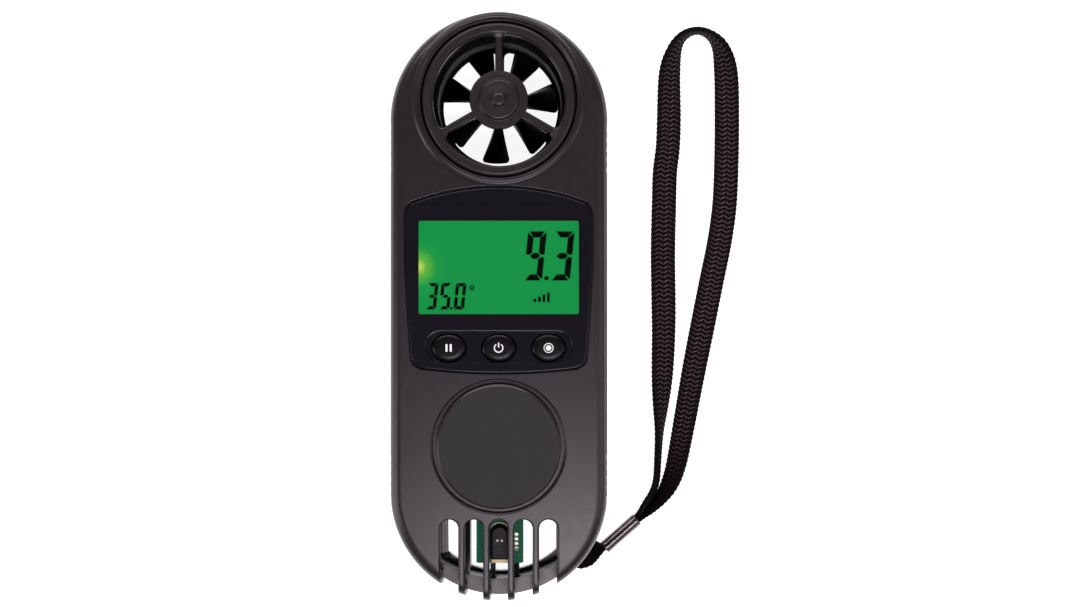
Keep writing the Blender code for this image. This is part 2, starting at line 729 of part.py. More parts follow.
def strap(paint, metal):
    """The loop, the crimped ferrule that closes it, and the short tail that holds it to the post."""
    route = smooth_route([(x, y, STRAP_Z) for x, y in STRAP_ROUTE], STRAP_STEP)
    taper = (0.45, 0.6, 0.8)
    radii = [1.0] * len(route)
    for i, radius in enumerate(taper):
        radii[i] = radius
        radii[-1 - i] = radius
    tube("strap_loop", route, radii, STRAP_R, paint)

    far = Vector((*FERRULE_FAR, STRAP_Z))
    near = Vector((*FERRULE_NEAR, STRAP_Z))
    along = (far - near).normalized()
    turn = along.to_track_quat("Z", "Y").to_matrix().to_4x4()
    length = (far - near).length
    ring = [(0, 0.0), (1.1, 0.0), (1.25, 0.2), (1.25, length - 0.2), (1.1, length), (0, length)]
    body = turned(ring, (0, 0), 16)
    bmesh.ops.transform(body, matrix=Matrix.Translation(near) @ turn, verts=body.verts)
    add_object("strap_ferrule", body, metal)

    eye = Vector((*STRAP_EYE, STRAP_Z))
    way = (near - eye).normalized()
    start = eye + way * 1.75
    end = near - along * 0.8
    points = [start, start.lerp(end, 0.5), end]
    tube("strap_tail", points, (0.9, 1.1, 0.8), 1.1, paint)


def main():
    clear_scene()
    plastic = material("shell_plastic", (0.055, 0.05, 0.053), 0.5)
    guard_plastic = material("guard_plastic", (0.05, 0.045, 0.048), 0.45)
    gloss_black = material("gloss_black", (0.008, 0.008, 0.012), 0.15)
    button_paint = material("button_rubber", (0.03, 0.03, 0.033), 0.4)
    label_paint = material("label_grey", (0.052, 0.046, 0.05), 0.6)
    blade_paint = material("blade_black", (0.008, 0.008, 0.008), 0.25)
    strap_paint = material("strap_weave", (0.012, 0.01, 0.01), 0.85)
    paints = {
        "shell": plastic,
        "black": gloss_black,
        "steel": material("bright_steel", (0.62, 0.6, 0.6), 0.25, 1.0),
        "brass": material("spring_brass", (0.75, 0.6, 0.3), 0.3, 1.0),
        "board": material("green_board", (0.01, 0.16, 0.07), 0.4),
        "chip": material("chip_black", (0.015, 0.015, 0.018), 0.4),
        "lcd": material("lit_display", (0.02, 0.42, 0.1), 0.3),
        "diffuser": material("milky_diffuser", (0.75, 0.85, 0.75), 0.5),
        "amber": material("led_amber", (0.9, 0.75, 0.1), 0.3),
        "rubber": material("dark_rubber", (0.03, 0.03, 0.03), 0.7),
        "wire": material("grey_wire", (0.28, 0.26, 0.27), 0.5),
        "bead": material("sensor_bead", (0.03, 0.025, 0.02), 0.3),
    }
    jewel = material("bearing_bronze", (0.6, 0.42, 0.22), 0.3, 1.0)
    magnet_paint = material("magnet_grey", (0.1, 0.1, 0.1), 0.5)

    grips = grip_cutter()
    front_shell(plastic, grips)
    rear_shell(plastic, grips)
    vane_guard(guard_plastic)
    vane_duct(guard_plastic)
    impeller(blade_paint)
    vane_bearings_and_shaft(paints["steel"], jewel, magnet_paint, paints["chip"])
    window_panel(gloss_black)
    buttons(button_paint)
    display_parts(paints)
    circuit(paints)
    label_disc(label_paint)
    sensors(paints)
    battery(paints)
    case_screws(paints["steel"])
    strap(strap_paint, paints["steel"])


main()
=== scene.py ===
"""Looks of the handheld weather meter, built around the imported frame.

The frame is in metres, with the meter on its back, +Z out of the display and +Y towards the vane.
Outlines below are in millimetres in that same frame; MM turns them into metres.
"""

import json
import math

import bmesh
import bpy
import numpy as np
from mathutils import Matrix, Vector

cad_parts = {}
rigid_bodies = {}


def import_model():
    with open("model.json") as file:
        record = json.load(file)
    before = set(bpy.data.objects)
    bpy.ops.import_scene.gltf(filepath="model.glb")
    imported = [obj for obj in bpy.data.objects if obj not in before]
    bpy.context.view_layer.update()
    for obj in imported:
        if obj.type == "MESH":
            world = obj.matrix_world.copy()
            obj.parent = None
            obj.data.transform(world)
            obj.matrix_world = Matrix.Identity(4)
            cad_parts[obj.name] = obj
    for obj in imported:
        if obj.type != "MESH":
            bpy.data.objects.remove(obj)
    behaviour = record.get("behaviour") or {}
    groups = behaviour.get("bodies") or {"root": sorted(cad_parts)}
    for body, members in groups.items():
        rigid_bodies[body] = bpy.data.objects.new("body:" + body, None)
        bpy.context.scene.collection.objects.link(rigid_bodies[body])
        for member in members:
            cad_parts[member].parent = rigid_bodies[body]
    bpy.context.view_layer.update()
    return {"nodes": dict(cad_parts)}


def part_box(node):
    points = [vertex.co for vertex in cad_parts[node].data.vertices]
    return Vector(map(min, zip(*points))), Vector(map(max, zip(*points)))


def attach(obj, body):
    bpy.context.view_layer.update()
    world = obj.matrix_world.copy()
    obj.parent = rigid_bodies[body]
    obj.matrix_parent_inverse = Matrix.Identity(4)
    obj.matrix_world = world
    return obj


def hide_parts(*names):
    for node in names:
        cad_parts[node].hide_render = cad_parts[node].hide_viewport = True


# Nothing stays from the scene that Blender opens with.
for leftover in list(bpy.data.objects):
    bpy.data.objects.remove(leftover, do_unlink=True)

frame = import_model()
NODES = frame["nodes"]

MM = 0.001
CASE = "case"

# ---- sizes, read from the frame where it has them


def span(node):
    """The lowest and highest corner of a CAD node, in millimetres."""
    low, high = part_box(node)
    return Vector(low) / MM, Vector(high) / MM


def middle(node):
    low, high = span(node)
    return (low + high) / 2


FRONT_LOW, FRONT_HIGH = span("front_shell")
REAR_LOW, REAR_HIGH = span("rear_shell")
BODY_R = (REAR_HIGH.x - REAR_LOW.x) / 2
END_Y = REAR_HIGH.y - BODY_R
SPLIT_LOW = 7.85
SPLIT_HIGH = FRONT_LOW.z
FACE_Z = 19.5
TOP_Z = FRONT_HIGH.z
WALL = 1.8
VANE = middle("vane_duct")
GUARD_LOW, GUARD_HIGH = span("vane_guard")
RING_OUT = (GUARD_HIGH.x - GUARD_LOW.x) / 2
DUCT_IN = 13.15
REAR_BORE = 11.9
REAR_HUB = 4.2
HUB_DISC = 5.84
ARM_HALF = 0.72
ARM_ANGLES = (90.0, 210.0, 330.0)
PANEL_LOW, PANEL_HIGH = span("window_panel")
LCD_LOW, LCD_HIGH = span("lcd_glass")
KEYS = ("hold_button", "power_button", "record_button")
DISC = middle("label_disc")
DISC_R = span("label_disc")[1].x
SLOT_PITCH = 4.92
SLOT_HALF = SLOT_PITCH / 2 - 0.65
SLOT_TOP = -42.3
VENT_R = 17.3
VENT_X = 11.6
VENT_TOP = -43.4
END_WALL_R = 17.9
SCREWS = ("case_screw_1", "case_screw_2", "case_screw_3", "case_screw_4")
BOSS_R = 2.3
# Half width, foot and top of the panel's clear window, and of the display behind it.
VIEW_WINDOW = (15.9, -1.5, 17.0)
SCREEN = (17.0, -3.6, 18.2)
PANE_EDGE = 0.5
# Radii of the two shells' outer edges, and how far the front one has leaned in where its edge starts.
FRONT_EDGE = 2.3
REAR_EDGE = 3.0
SIDE_DRAFT = 0.35
END_DRAFT = 0.95
GRIP_CENTRES = (31.5, -34.4)
GRIP_PITCH = 2.05
GRIP_R = 1.0
GRIP_OUT = 0.28
LUG_IN = 10.7
PIN_TOP = -46.6
PIN_PITCH = 0.95
PORTS = ((-0.45, -47.6), (0.45, -47.6))

# ---- outlines and solids


def ellipse(half_x, half_y, centre=(0, 0), steps=72):
    turns = [2 * math.pi * i / steps for i in range(steps)]
    return [(centre[0] + half_x * math.cos(t), centre[1] + half_y * math.sin(t)) for t in turns]


def circle(radius, centre=(0, 0), steps=96):
    return ellipse(radius, radius, centre, steps)


def arc(radius, first, last, steps, centre=(0, 0)):
    """Points along an arc from one angle to another, in radians, with both ends."""
    turns = [first + (last - first) * i / steps for i in range(steps + 1)]
    return [(centre[0] + radius * math.cos(t), centre[1] + radius * math.sin(t)) for t in turns]


def arc_band(centre, inner, outer, start, end, steps=40):
    """A band between two radii, from one angle to another in degrees."""
    first, last = math.radians(start), math.radians(end)
    return arc(outer, first, last, steps, centre) + arc(inner, first, last, steps, centre)[::-1]


def quarter(steps, first=0):
    """How far a rounded edge has risen and pulled in, as shares of its radius, at even angles."""
    turns = [math.pi / 2 * k / steps for k in range(first, steps + 1)]
    return [(math.sin(t), 1 - math.cos(t)) for t in turns]


def body_outline(inset=0.0, shorter=0.0, steps=72):
    """The case's outline, moved in by inset all round and by shorter as well at the two ends."""
    radius, end = BODY_R - inset, END_Y - shorter
    return arc(radius, 0.0, math.pi, steps, (0, end)) + arc(radius, math.pi, 2 * math.pi, steps, (0, -end))


def rounded(corners, steps=8):
    """A polygon from (x, y, radius) corners, each rounded by an arc of its radius."""
    points = []
    count = len(corners)
    for i, (x, y, radius) in enumerate(corners):
        here = Vector((x, y))
        back = (Vector(corners[i - 1][:2]) - here).normalized()
        ahead = (Vector(corners[(i + 1) % count][:2]) - here).normalized()
        half = back.angle(ahead) / 2
        reach = radius / math.tan(half)
        centre = here + (back + ahead).normalized() * (radius / math.sin(half))
        first = here + back * reach - centre
        turn = math.pi - 2 * half
        for k in range(steps + 1):
            c, s = math.cos(turn * k / steps), math.sin(turn * k / steps)
            points.append((centre.x + first.x * c - first.y * s, centre.y + first.x * s + first.y * c))
    return points


def rounded_box(half_x, y_low, y_high, radius, steps=8, middle_x=0.0):
    low, high = middle_x - half_x, middle_x + half_x
    corners = ((high, y_low), (high, y_high), (low, y_high), (low, y_low))
    return rounded([(x, y, radius) for x, y in corners], steps)


def window_outline(grow=0.0, steps=14):
    """The display panel: sides that narrow downwards, a crowned top and a slightly bowed foot."""
    return rounded(
        [
            (0.0, -13.7 - grow, 120.0),
            (17.2 + grow, -12.1 - grow, 3.0),
            (18.5 + grow, 8.0, 60.0),
            (18.5 + grow, 20.0 + grow, 2.6),
            (0.0, 26.6 + grow, 49.0),
            (-18.5 - grow, 20.0 + grow, 2.6),
            (-18.5 - grow, 8.0, 60.0),
            (-17.2 - grow, -12.1 - grow, 3.0),
        ],
        steps,
    )


def arm_sector(start, grow=0.0, inner=HUB_DISC, outer=DUCT_IN, steps=28, corner=1.1):
    """The opening between two arms of the guard, with filleted corners at the ring."""
    inner_r = inner - grow
    outer_r = outer + grow
    half = ARM_HALF - grow
    vane = (0, VANE.y)
    a = math.radians(start) + math.asin(half / inner_r)
    b = math.radians(start + 120) - math.asin(half / inner_r)
    # A fillet of radius corner lies between each arm's straight edge and the ring's inner arc.
    along = math.sqrt((outer_r - corner) ** 2 - (half + corner) ** 2)
    lean = math.atan2(half + corner, along)
    fillets = []
    for side, edge in ((1, math.radians(start)), (-1, math.radians(start + 120))):
        turn = edge + side * lean
        centre = Vector((math.cos(turn), math.sin(turn))) * (outer_r - corner)
        fillets.append(arc(corner, edge - side * math.pi / 2, turn, 6, (centre.x, VANE.y + centre.y)))
    rim = arc(outer_r, math.radians(start) + lean, math.radians(start + 120) - lean, steps, vane)
    return arc(inner_r, b, a, steps, vane) + fillets[0] + rim[1:-1] + fillets[1][::-1]


def lofted(rings):
    """A closed solid through rings of points, each with the same count."""
    built = bmesh.new()
    rings = [[built.verts.new(point) for point in ring] for ring in rings]
    count = len(rings[0])
    for low, high in zip(rings, rings[1:]):
        for i in range(count):
            j = (i + 1) % count
            built.faces.new((low[i], low[j], high[j], high[i]))
    built.faces.new(rings[0][::-1])
    built.faces.new(rings[-1])
    return built


def stack(layers):
    """A closed solid through level outlines, as (z, outline) pairs from bottom to top."""
    return lofted([[(x, y, z) for x, y in outline] for z, outline in layers])


def prism(outline, low, high):
    return stack([(low, outline), (high, outline)])


def flared(outline_of, low, edge, high, flare, steps=5):
    """A cutter whose mouth at height edge opens by flare along a quarter round, to soften the cut's edge."""
    layers = [(edge - flare * (1 - rise), outline_of(flare * pull)) for rise, pull in quarter(steps)]
    return stack([(low, outline_of(0.0))] + layers + [(high, outline_of(flare))])


def turned(profile, centre=(0, 0), steps=96):
    """A solid turned about a vertical axis from (radius, z) points; on the axis at both ends, or a ring."""
    built = bmesh.new()
    rings = []
    for radius, z in profile:
        if radius == 0:
            rings.append([built.verts.new((centre[0], centre[1], z))])
            continue
        rings.append([built.verts.new((x, y, z)) for x, y in circle(radius, centre, steps)])
    pairs = list(zip(rings, rings[1:]))
    if profile[0][0] != 0:
        pairs.append((rings[-1], rings[0]))
    for one, two in pairs:
        for i in range(steps):
            j = (i + 1) % steps
            loop = [one[i % len(one)], one[j % len(one)], two[j % len(two)], two[i % len(two)]]
            built.faces.new(list(dict.fromkeys(loop)))
    return built


def soften(profile, radius, steps=4):
    """Rounds the corners of a (radius, z) profile, apart from its two ends."""
    out = [profile[0]]
    for a, b, c in zip(profile, profile[1:], profile[2:]):
        here = Vector(b)
        back = Vector(a) - here
        ahead = Vector(c) - here
        cut = min(radius, back.length * 0.45, ahead.length * 0.45)
        start = here + back.normalized() * cut
        end = here + ahead.normalized() * cut
        for k in range(steps + 1):
            t = k / steps
            out.append(tuple((1 - t) ** 2 * start + 2 * t * (1 - t) * here + t * t * end))
    out.append(profile[-1])
    return out


SHARP = 35.0  # degrees between two faces above which their edge is shaded sharp


def joined(solids):
    """One bmesh that holds several, each with its faces turned outwards."""
    whole = bmesh.new()
    for solid in solids:
        data = bpy.data.meshes.new("piece")
        bmesh.ops.recalc_face_normals(solid, faces=solid.faces)
        solid.to_mesh(data)
        solid.free()
        whole.from_mesh(data)
        bpy.data.meshes.remove(data)
    return whole


def make(name, built, sharp=SHARP):
    """An object from a bmesh in millimetres."""
    bmesh.ops.scale(built, vec=(MM, MM, MM), verts=built.verts)
    bmesh.ops.recalc_face_normals(built, faces=built.faces)
    data = bpy.data.meshes.new(name)
    built.to_mesh(data)
    built.free()
    data.shade_smooth()
    data.set_sharp_from_angle(angle=math.radians(sharp))
    item = bpy.data.objects.new(name, data)
    bpy.context.scene.collection.objects.link(item)
    return item


def apply_all(item):
    """Replaces an object's mesh by what its modifiers make of it."""
    bpy.context.view_layer.update()
    graph = bpy.context.evaluated_depsgraph_get()
    data = bpy.data.meshes.new_from_object(item.evaluated_get(graph))
    item.modifiers.clear()
    item.data = data


def carve(item, steps):
    """Applies Boolean steps, given as (operation, solids), and leaves a plain mesh, evenly shaded."""
    tools = []
    for index, (operation, solids) in enumerate(steps):
        tool = make(f"{item.name}_tool_{index}", joined(solids))
        tools.append(tool)
        modifier = item.modifiers.new(f"step_{index}", "BOOLEAN")
        modifier.operation = operation
        modifier.solver = "EXACT"
        modifier.object = tool
    apply_all(item)
    for tool in tools:
        bpy.data.objects.remove(tool, do_unlink=True)
    item.data.shade_smooth()
    item.data.set_sharp_from_angle(angle=math.radians(SHARP))
    weighted = item.modifiers.new("weighted", "WEIGHTED_NORMAL")
    weighted.weight = 100
    weighted.keep_sharp = True
    apply_all(item)


def dress(item, paint, body, *nodes, slot=None):
    """Gives a piece its material and body, and hides the CAD nodes it stands for."""
    item.data.materials.clear()
    item.data.materials.append(paint)
    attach(item, body)
    if nodes:
        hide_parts(*nodes)


# ---- materials


def new_material(name):
    made = bpy.data.materials.new(name)
    made.use_nodes = True
    tree = made.node_tree
    return made, tree, tree.nodes["Principled BSDF"]


def noise(tree, scale, detail):
    place = tree.nodes.new("ShaderNodeTexCoord")
    made = tree.nodes.new("ShaderNodeTexNoise")
    made.inputs["Scale"].default_value = scale
    made.inputs["Detail"].default_value = detail
    tree.links.new(place.outputs["Object"], made.inputs["Vector"])
    return made.outputs["Fac"]


def ramp(tree, fac, stops):
    made = tree.nodes.new("ShaderNodeValToRGB")
    band = made.color_ramp
    while len(band.elements) < len(stops):
        band.elements.new(0.5)
    for element, (at, colour) in zip(band.elements, stops):
        element.position = at
        element.color = (*colour, 1.0)
    tree.links.new(fac, made.inputs["Fac"])
    return made.outputs["Color"]


def remap(tree, fac, low, high):
    made = tree.nodes.new("ShaderNodeMapRange")
    made.inputs["To Min"].default_value = low
    made.inputs["To Max"].default_value = high
    tree.links.new(fac, made.inputs["Value"])
    return made.outputs["Result"]


def bump(tree, shader, height, strength, distance, edge=0.0):
    made = tree.nodes.new("ShaderNodeBump")
    made.inputs["Strength"].default_value = strength
    made.inputs["Distance"].default_value = distance * MM
    tree.links.new(height, made.inputs["Height"])
    if edge:
        soft = tree.nodes.new("ShaderNodeBevel")
        soft.samples = 4
        soft.inputs["Radius"].default_value = edge * MM
        tree.links.new(soft.outputs["Normal"], made.inputs["Normal"])
    tree.links.new(made.outputs["Normal"], shader.inputs["Normal"])


def moulded(name, dark, light, rough, grain=5200.0, depth=0.02, edge=0.2, shine=0.5):
    """Moulded plastic with a fine spark-eroded grain and faint mottling."""
    made, tree, shader = new_material(name)
    mottle = noise(tree, 90.0, 4.0)
    tree.links.new(ramp(tree, mottle, ((0.3, dark), (0.7, light))), shader.inputs["Base Color"])
    worn = noise(tree, 700.0, 2.0)
    tree.links.new(remap(tree, worn, rough - 0.05, rough + 0.05), shader.inputs["Roughness"])
    bump(tree, shader, noise(tree, grain, 2.0), 0.35, depth, edge)
    shader.inputs["Specular IOR Level"].default_value = shine
    return made


def metal(name, dark, light, rough):
    made, tree, shader = new_material(name)
    grain = noise(tree, 1800.0, 3.0)
    tree.links.new(ramp(tree, grain, ((0.25, dark), (0.75, light))), shader.inputs["Base Color"])
    tree.links.new(remap(tree, grain, rough - 0.06, rough + 0.08), shader.inputs["Roughness"])
    bump(tree, shader, grain, 0.2, 0.006, 0.06)
    shader.inputs["Metallic"].default_value = 1.0
    return made


def gloss(name, dark, light, rough, coat=0.6, shine=0.5):
    made, tree, shader = new_material(name)
    mottle = noise(tree, 60.0, 2.0)
    tree.links.new(ramp(tree, mottle, ((0.3, dark), (0.7, light))), shader.inputs["Base Color"])
    tree.links.new(remap(tree, noise(tree, 900.0, 2.0), rough, rough + 0.04), shader.inputs["Roughness"])
    bump(tree, shader, noise(tree, 300.0, 1.0), 0.05, 0.01, 0.12)
    shader.inputs["Specular IOR Level"].default_value = shine
    shader.inputs["Coat Weight"].default_value = coat
    shader.inputs["Coat Roughness"].default_value = 0.05
    return made


def board_green(name):
    """Green solder lacquer, with tracks that show as slightly lighter lines under it."""
    made, tree, shader = new_material(name)
    place = tree.nodes.new("ShaderNodeTexCoord")
    tracks = tree.nodes.new("ShaderNodeTexBrick")
    tracks.inputs["Scale"].default_value = 330.0
    tracks.inputs["Mortar Size"].default_value = 0.045
    tracks.inputs["Color1"].default_value = (0.004, 0.13, 0.062, 1)
    tracks.inputs["Color2"].default_value = (0.005, 0.15, 0.07, 1)
    tracks.inputs["Mortar"].default_value = (0.012, 0.21, 0.1, 1)
    tree.links.new(place.outputs["Object"], tracks.inputs["Vector"])
    tree.links.new(tracks.outputs["Color"], shader.inputs["Base Color"])
    tree.links.new(remap(tree, noise(tree, 900.0, 2.0), 0.4, 0.55), shader.inputs["Roughness"])
    shader.inputs["Specular IOR Level"].default_value = 0.15
    bump(tree, shader, tracks.outputs["Fac"], 0.3, 0.02, 0.05)
    return made


def lit_screen(name, lamp=(-15.9, 7.9), reach=(5.6, 6.4)):
    """The display's green backlight, brightest and yellow where the lamp sits at its left edge."""
    made, tree, shader = new_material(name)
    place = tree.nodes.new("ShaderNodeTexCoord")
    shift = tree.nodes.new("ShaderNodeMapping")
    shift.inputs["Location"].default_value = (-lamp[0] / reach[0], -lamp[1] / reach[1], 0.0)
    shift.inputs["Scale"].default_value = (1 / (reach[0] * MM), 1 / (reach[1] * MM), 0.0)
    tree.links.new(place.outputs["Object"], shift.inputs["Vector"])
    near = tree.nodes.new("ShaderNodeTexGradient")
    near.gradient_type = "SPHERICAL"
    tree.links.new(shift.outputs["Vector"], near.inputs["Vector"])
    colour = ramp(tree, near.outputs["Fac"], (
        (0.0, (0.006, 0.275, 0.056)), (0.4, (0.012, 0.31, 0.055)),
        (0.75, (0.12, 0.44, 0.05)), (1.0, (0.6, 0.72, 0.14)),
    ))
    tree.links.new(remap(tree, noise(tree, 240.0, 2.0), 0.2, 0.3), shader.inputs["Roughness"])
    tree.links.new(colour, shader.inputs["Emission Color"])
    shader.inputs["Base Color"].default_value = (0.0, 0.02, 0.008, 1)
    shader.inputs["Emission Strength"].default_value = 1.0
    shader.inputs["Specular IOR Level"].default_value = 0.1
    return made


def clear_lens(name):
    made, tree, shader = new_material(name)
    shader.inputs["Transmission Weight"].default_value = 1.0
    shader.inputs["IOR"].default_value = 1.2
    shader.inputs["Roughness"].default_value = 0.0
    faint = ramp(tree, noise(tree, 300.0, 1.0), ((0.3, (0.97, 1.0, 0.98)), (0.7, (1.0, 1.0, 1.0))))
    tree.links.new(faint, shader.inputs["Base Color"])
    return made


def printed(name, colour, painted_glow=0.0):
    made, tree, shader = new_material(name)
    grain = noise(tree, 3000.0, 2.0)
    soft = tuple(c * 0.86 for c in colour)
    tree.links.new(ramp(tree, grain, ((0.3, soft), (0.7, colour))), shader.inputs["Base Color"])
    shader.inputs["Roughness"].default_value = 0.5
    shader.inputs["Specular IOR Level"].default_value = 0.0
    # A glow makes the print give off light of its own, though it is no lamp: a painted glow.
    if painted_glow:
        shader.inputs["Emission Color"].default_value = (*colour, 1)
        shader.inputs["Emission Strength"].default_value = painted_glow
    return made


def strap_weave(name):
    """Matt black yarn with a painted highlight: the highlight value stored on the mesh lightens the stitches'
    tops to brown-grey.
    """
    made, tree, shader = new_material(name)
    stitch_highlight = tree.nodes.new("ShaderNodeAttribute")
    stitch_highlight.attribute_name = "stitch_highlight"
    # Near black yarn that turns brown-grey where the painted highlight is strongest.
    colour = ramp(tree, stitch_highlight.outputs["Fac"], (
        (0.0, (0.0025, 0.0014, 0.0015)), (0.45, (0.009, 0.005, 0.0055)),
        (0.75, (0.06, 0.046, 0.045)), (1.0, (0.2, 0.16, 0.155)),
    ))
    tree.links.new(colour, shader.inputs["Base Color"])
    shader.inputs["Roughness"].default_value = 0.8
    shader.inputs["Specular IOR Level"].default_value = 0.1
    bump(tree, shader, noise(tree, 9000.0, 3.0), 0.5, 0.03)
    return made


PAINT = {
    "shell": moulded("shell_plastic", (0.014, 0.0114, 0.0142), (0.0172, 0.0143, 0.0175), 0.31),
    "duct": moulded("duct_plastic", (0.004, 0.003, 0.003), (0.007, 0.0055, 0.0055), 0.6,
                    depth=0.012, shine=0.05),
    "guard": moulded("guard_plastic", (0.013, 0.0103, 0.0118), (0.0162, 0.0132, 0.0148), 0.36, depth=0.012),
    "disc": moulded("label_plastic", (0.0335, 0.0325, 0.034), (0.0352, 0.0342, 0.0358), 0.7,
                    depth=0.006, edge=0.1, shine=0.2),
    "blade": gloss("blade_plastic", (0.0015, 0.001, 0.001), (0.003, 0.002, 0.002), 0.2, 0.0, 0.35),
    "window": gloss("window_gloss", (0.0052, 0.0043, 0.008), (0.0068, 0.0057, 0.0103), 0.14, 0.0, 0.35),
    "key": moulded("key_rubber", (0.003, 0.0026, 0.0034), (0.0042, 0.0036, 0.0047), 0.28,
                   depth=0.006, edge=0.1, shine=0.2),
    "steel": metal("bright_steel", (0.3, 0.27, 0.27), (0.46, 0.42, 0.42), 0.26),
    "crimp": metal("crimped_tin", (0.1, 0.09, 0.087), (0.24, 0.215, 0.208), 0.27),
    "bronze": metal("bearing_bronze", (0.4, 0.26, 0.13), (0.6, 0.42, 0.22), 0.3),
    "brass": metal("spring_brass", (0.6, 0.45, 0.2), (0.8, 0.64, 0.32), 0.28),
    "magnet": metal("magnet_grey", (0.09, 0.09, 0.09), (0.14, 0.14, 0.14), 0.45),
    "chip": moulded("chip_black", (0.003, 0.003, 0.0045), (0.006, 0.006, 0.009), 0.3,
                    depth=0.01, edge=0.08, shine=0.1),
    "board": board_green("green_board"),
    "lcd": lit_screen("lit_display"),
    "lens": clear_lens("display_lens"),
    "ink": printed("display_ink", (0.001, 0.006, 0.003)),
    # White print for the key legends, made to glow as well: real print with a painted glow; the sensor ports'
    # painted highlights use it too.
    "white": printed("legend_white_painted_glow", (0.8, 0.8, 0.82), 0.35),
    "rubber": moulded("dark_rubber", (0.015, 0.015, 0.015), (0.025, 0.025, 0.025), 0.7),
    "diffuser": moulded("milky_diffuser", (0.6, 0.72, 0.62), (0.7, 0.8, 0.72), 0.5),
    "amber": gloss("led_amber", (0.7, 0.5, 0.05), (0.85, 0.65, 0.1), 0.15),
    "wire": moulded("grey_wire", (0.26, 0.24, 0.25), (0.34, 0.31, 0.32), 0.5, depth=0.01, edge=0.05),
    "bead": gloss("sensor_bead", (0.02, 0.015, 0.012), (0.035, 0.028, 0.02), 0.2),
    "tin": metal("tinned_pads", (0.22, 0.18, 0.1), (0.36, 0.3, 0.18), 0.4),
    "strap": strap_weave("strap_weave"),
}

# ---- the two shells


def grip_grooves():
    spots = [(side * (BODY_R + GRIP_OUT), centre + (i - 2) * GRIP_PITCH)
             for side in (-1, 1) for centre in GRIP_CENTRES for i in range(5)]
    return [prism(circle(GRIP_R, spot, 24), 1.8, 18.0) for spot in spots]


def slot_outline(x, grow=0.0):
    half = SLOT_HALF + grow
    foot = -BODY_R - END_Y - 2
    crown = arc(half, 0.0, math.pi, 16, (x, SLOT_TOP - SLOT_HALF))
    return crown + [(x - half, foot), (x + half, foot)]


def slot_centres():
    return [(i - 2) * SLOT_PITCH for i in range(5)]


def front_case():
    # The wall leans in by its draft up to the rounded edge, more at the ends than along the sides.
    layers = [(SPLIT_HIGH, 0.12, 0.0), (SPLIT_HIGH + 0.12, 0.0, 0.0)]
    layers += [(FACE_Z - FRONT_EDGE * (1 - rise), SIDE_DRAFT + FRONT_EDGE * pull, END_DRAFT + 0.3 * pull)
               for rise, pull in quarter(10)]
    case = make("front_case", stack([(z, body_outline(inset, short)) for z, inset, short in layers]))
    cavity = [(SPLIT_HIGH - 1, WALL, 0.2), (16.0, WALL + 0.3, 0.9), (17.4, WALL + 1.6, 1.0)]
    collar = soften(
        [(17.4, 18.2), (17.4, 19.2), (17.15, 19.7), (16.55, TOP_Z), (16.0, 19.7), (15.65, 19.1),
         (15.45, 18.5), (15.0, 18.2)],
        0.35, 4)
    bosses = [prism(circle(BOSS_R, middle(s)[:2], 32), SPLIT_HIGH + 1.0, 17.8) for s in SCREWS]
    pockets = [
        prism(circle(RING_OUT + 0.3, VANE[:2]), SPLIT_HIGH - 1, TOP_Z + 2),
        flared(lambda g: window_outline(0.3 + g), 18.1, FACE_Z, TOP_Z + 2, 0.14),
        stack([(z, circle(DISC_R + wide, DISC[:2])) for z, wide in
               ((18.2, 0.8), (FACE_Z - 0.31, 0.8), (FACE_Z + 0.02, 1.2), (TOP_Z + 2, 1.2))]),
    ]
    pockets += [prism(circle(1.1, middle(s)[:2], 24), SPLIT_HIGH - 1, 16.2) for s in SCREWS]
    half, low, high = VIEW_WINDOW
    panes = [
        prism(rounded_box(half + PANE_EDGE, low - PANE_EDGE, high + PANE_EDGE, 0.8), SPLIT_HIGH - 1, TOP_Z),
        prism(rounded_box(13.9, -11.3, -5.1, 3.0), SPLIT_HIGH - 1, TOP_Z),
    ]
    slots = [flared(lambda g, x=x: slot_outline(x, g), 6.0, FACE_Z, TOP_Z + 2, 0.45) for x in slot_centres()]
    carve(case, [
        ("DIFFERENCE", [stack([(z, body_outline(i, e)) for z, i, e in cavity])]),
        ("UNION", [turned(collar, VANE[:2], 128)]),
        ("UNION", bosses),
        ("DIFFERENCE", pockets),
        ("DIFFERENCE", panes),
        ("DIFFERENCE", slots),
        ("DIFFERENCE", grip_grooves()),
    ])
    dress(case, PAINT["shell"], CASE, "front_shell", slot="shell_plastic")


def end_arc(radius, half, steps, x=0.0):
    """Points along an arc about the lower end's centre, from left to right about x."""
    spots = [x - half + 2 * half * i / steps for i in range(steps + 1)]
    return [(px, -END_Y - math.sqrt(radius ** 2 - px ** 2)) for px in spots]


def lug_outline(turn, outer, spread):
    """A lug of the battery cover or, with more spread, the notch that lets it in."""
    return arc_band((0, DISC.y), LUG_IN, outer, turn - spread / 2, turn + spread / 2, 8)


def strap_place(out, aside):
    """A point by the strap's post, from steps away from the case's end and across them."""
    eye = Vector(STRAP_EYE)
    away = (eye - Vector((0, -END_Y))).normalized()
    return tuple(eye + away * out + Vector((-away.y, away.x)) * aside)


